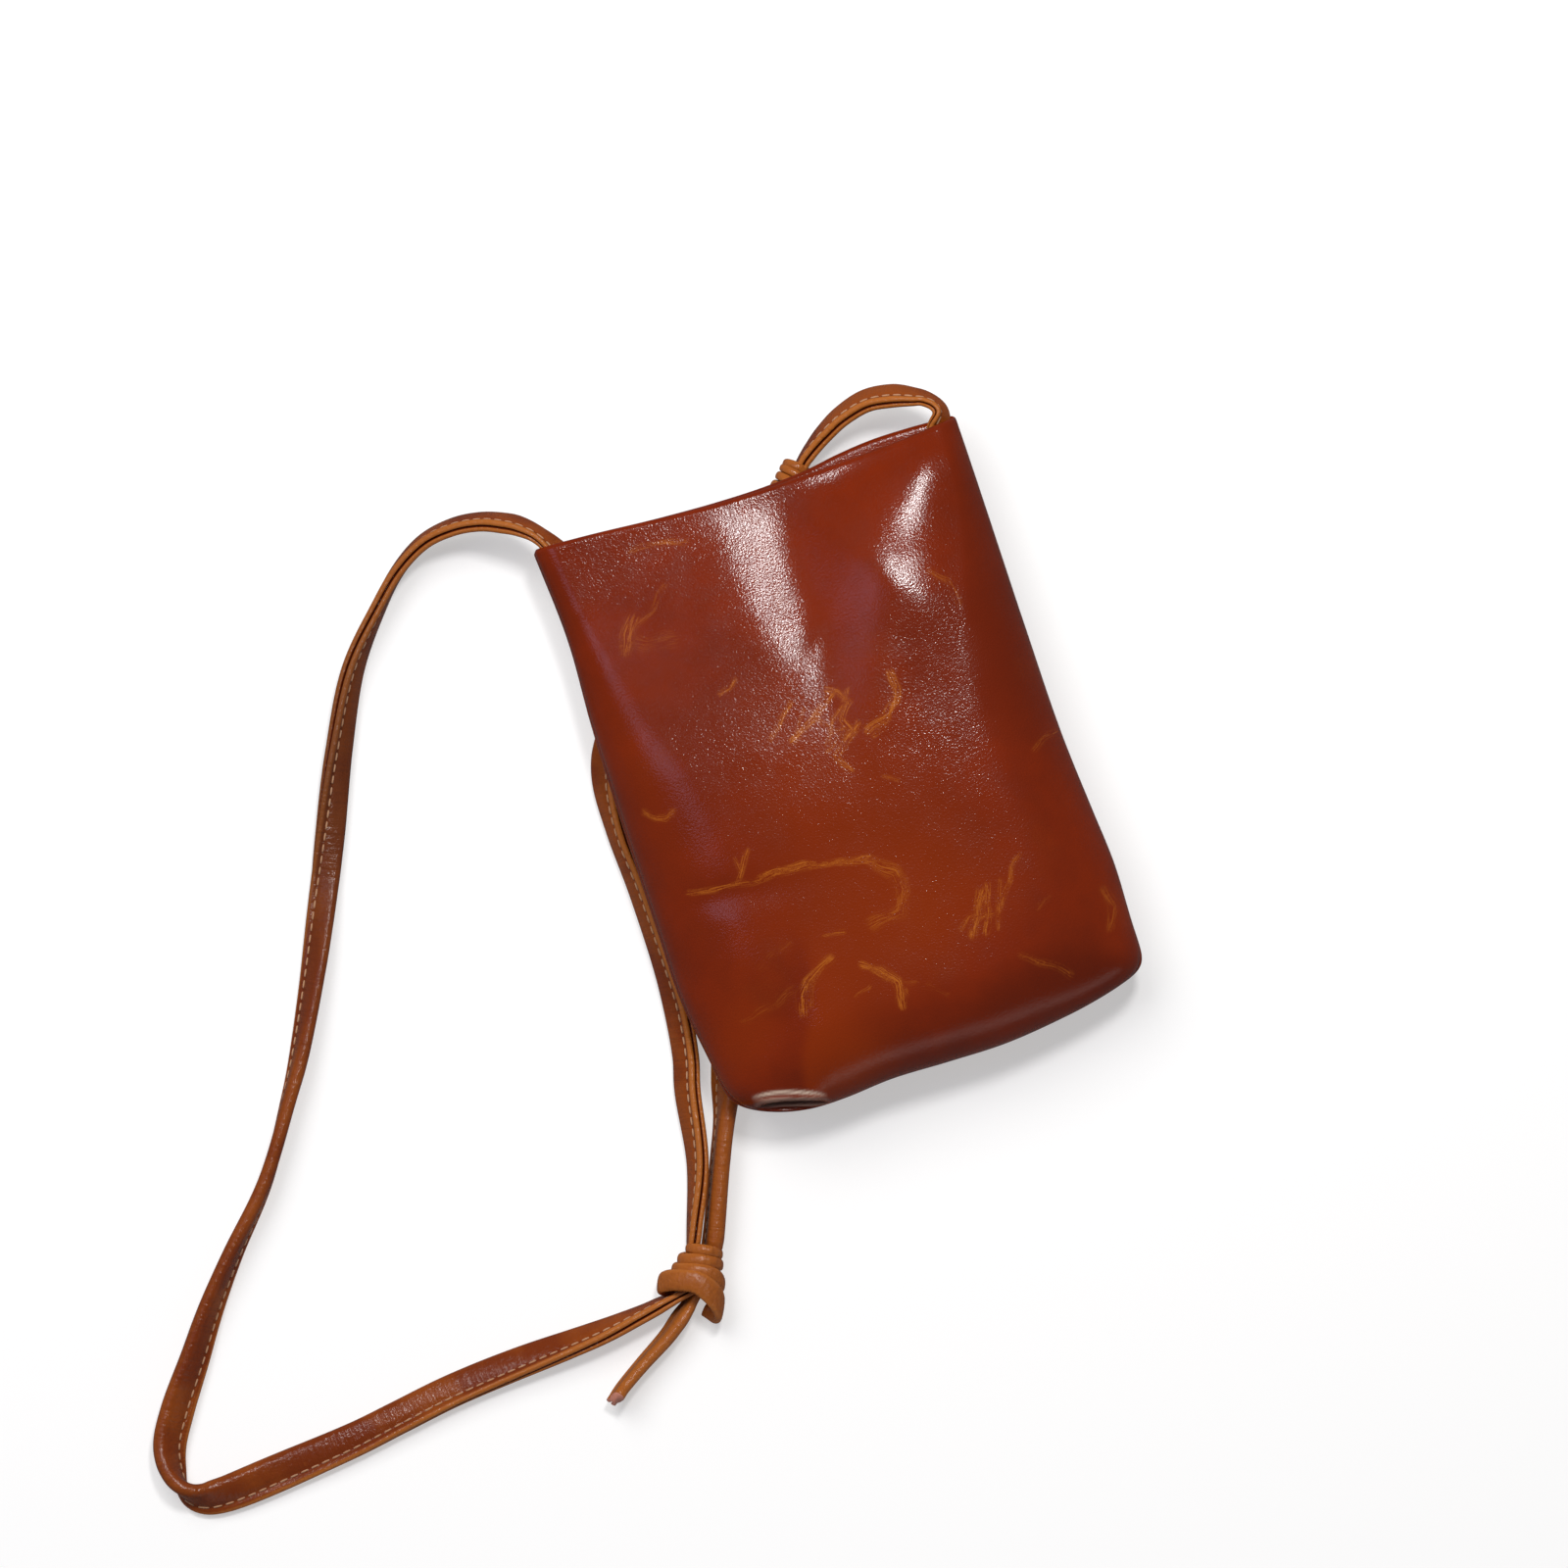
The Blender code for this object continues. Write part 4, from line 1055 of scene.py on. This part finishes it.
UPPER_TURNS = [
    (250, 11.0, 4.0, 5.4, 0.4, 1.4), (90, 11.4, 4.2, 5.6, 0.4, 1.5), (-90, 9.8, 4.4, 5.4, 0.4, 1.5),
    (-270, 8.8, 4.4, 5.8, 0.3, 1.5), (-450, 6.8, 4.5, 5.6, 0.2, 1.6), (-630, 5.6, 4.6, 6.0, 0.1, 1.6),
    (-810, 3.4, 4.8, 5.6, 0.0, 1.8), (-990, 1.4, 5.0, 6.2, 0.0, 2.0), (-1170, -2.4, 5.0, 5.8, 0.0, 2.2),
    (-1350, -5.0, 4.8, 5.8, 0.0, 2.0), (-1420, -5.4, 4.4, 5.4, 0.0, 1.8),
]


# For each knot: its middle, the way it slides, its turns, its scale, its tail and how far along the strap
# the strands follow it.
KNOTS = {
    "lower": (LOWER_MIDDLE, LOWER_SLIDE, LOWER_TURNS, 1.0, LOWER_TAIL, 95 * MM),
    "upper": (UPPER_MIDDLE, UPPER_SLIDE, UPPER_TURNS, 0.88, UPPER_TAIL, 45 * MM),
}
# For each strand: its name, its route and the part of it, its knot, the frame's pieces that it replaces, what
# is on its far end, how many times as wide it is and how much wear and painted sheen it has at least.
STRANDS = [
    ("long_strap_loop", LONG_LOOP, (0, 1), "lower", ("strap_long_loop", "strap_anchor_left"), "knot", 1, 0),
    ("long_strap_return", LONG_RETURN, (0, 0.78), "lower", ("strap_long_return",), "object", 1, 0),
    ("long_strap_end", LONG_RETURN, (0.78, 1), "upper", (), "knot", 1, 0),
    ("short_strap_loop", SHORT_LOOP, (0, 1), "upper",
     ("strap_short_loop", "strap_anchor_right"), "knot", 1, 0),
    ("short_strap_middle", SHORT_RUN, (0, 0.45), "upper", (), "object", 1, 0),
    ("short_strap_run", SHORT_RUN, (0.45, 1), "lower", ("strap_short_run",), "knot", 1.16, 0.55),
]


def make_tail(name, route, middle, body, leather, raw, replaced):
    """The strap's cut end, coming out of its knot. The cut shows raw fibre."""
    path = toward(smooth_route(route), middle, 7)
    tail = sweep(name, path, leather, 0.86 * squeezed(path, middle, 0.7, 14 * MM), 0.8)
    tail.data.materials.append(raw)
    tail.data.polygons[-1].material_index = 1
    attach(tail, body)
    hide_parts(replaced)
    return tail


def make_straps(leather, thread, raw):
    strands = {name: make_strand(name, *facts, leather, thread) for name, *facts in STRANDS}
    for side, (middle, slide, turns, scale, route, _) in KNOTS.items():
        knot = make_knot(f"{side}_sliding_knot", middle, slide, turns, leather, scale)
        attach(knot, f"{side}_knot")
        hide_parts(f"knot_{side}")
        tail = make_tail(f"{side}_strap_tail", route, middle, f"{side}_knot", leather, raw, f"tail_{side}")
        loop = "long_strap_loop" if side == "lower" else "short_strap_loop"
        strands[loop][1]["with_pieces"] += [knot, tail]


def dress_cad(thread, metal):
    """Better materials for the frame's own pieces that stay."""
    for material, names in (
        (metal, ("snap_stud", "snap_socket", "stud_washer", "socket_washer")),
        (thread, ("side_seam_thread_left", "side_seam_thread_right", "bottom_seam_thread")),
    ):
        for name in names:
            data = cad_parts[name].data
            data.materials.clear()
            data.materials.append(material)


# ---------------------------------------------------------------- the stage


def add_light(name, place_at, target, size, power, colour, shines):
    data = bpy.data.lights.new(name, "AREA")
    data.shape = "RECTANGLE"
    data.size, data.size_y = size
    data.energy = power
    data.color = colour
    lamp = bpy.data.objects.new(name, data)
    lamp.location = place_at
    lamp.visible_glossy = shines
    lamp.rotation_euler = (Vector(target) - Vector(place_at)).to_track_quat("-Z", "Y").to_euler()
    bpy.context.scene.collection.objects.link(lamp)


def picture_way(right, up):
    """A direction in the picture as a direction over the floor."""
    c, s = math.cos(VIEW_TURN), math.sin(VIEW_TURN)
    return np.array([right * c + up * s, -right * s + up * c])


def make_camera(scene):
    data = bpy.data.cameras.new("camera")
    data.lens = 36 * CAMERA_HEIGHT / VIEW_WIDTH
    camera = bpy.data.objects.new("camera", data)
    camera.location = (*VIEW_CENTRE, CAMERA_HEIGHT + 12 * MM)
    camera.rotation_euler = (0, 0, -VIEW_TURN)
    scene.collection.objects.link(camera)
    scene.camera = camera


def make_floor(scene):
    mesh = bpy.data.meshes.new("floor")
    corners = [(x * FLOOR_HALF, y * FLOOR_HALF, 0) for x, y in ((-1, -1), (1, -1), (1, 1), (-1, 1))]
    mesh.from_pydata(corners, [], [(0, 1, 2, 3)])
    material, _, shader = new_material("pale_floor", 0.7)
    shader.inputs["Base Color"].default_value = (0.6, 0.6, 0.6, 1)
    shader.inputs["Emission Color"].default_value = (1, 1, 1, 1)
    shader.inputs["Emission Strength"].default_value = 0.45
    shader.inputs["Specular IOR Level"].default_value = 0.1
    mesh.materials.append(material)
    floor = bpy.data.objects.new("floor", mesh)
    scene.collection.objects.link(floor)
    floor.visible_glossy = False  # the glossy sides don't mirror a bright floor


def make_world(scene):
    world = bpy.data.worlds.new("studio")
    world.use_nodes = True
    background = world.node_tree.nodes["Background"]
    background.inputs["Color"].default_value = (1, 1, 1, 1)
    background.inputs["Strength"].default_value = 0.10
    scene.world = world


# Each lamp: its direction and distance in the picture, height, size, power, colour, and whether it shines.
# The key makes the two long highlights. The soft one only lights, so that no second highlight shows.
LIGHTS = [
    ("key", picture_way(0.25, 1.0) * 0.6, 1.45, (0.2, 0.26), 12.0, (1, 0.985, 0.98), True),
    ("soft", picture_way(-0.7, 0.9) * 1.1, 1.8, (1.3, 1.3), 29, (1, 0.99, 0.97), False),
    ("left", picture_way(-1.0, 0.1) * 0.95, 1.5, (0.35, 0.8), 1.4, (0.66, 0.66, 1), True),
    ("low", picture_way(0.5, -1.0) * 1.6, 0.4, (1.4, 0.4), 1.2, (1, 0.97, 0.93), True),
]


def make_stage():
    scene = bpy.context.scene
    scene.view_settings.view_transform = "Standard"
    make_camera(scene)
    make_floor(scene)
    make_world(scene)
    for name, way, height, size, power, colour, shines in LIGHTS:
        add_light(name, (way[0], way[1], height), (0, 0, 0.01), size, power, colour, shines)


def main():
    leather = leather_material()
    strap_leather = strap_material()
    cloth = cloth_material()
    thread = thread_material()
    make_stage()
    make_bag(leather, cloth)
    make_straps(strap_leather, thread, raw_material())
    dress_cad(thread, metal_material())


main()
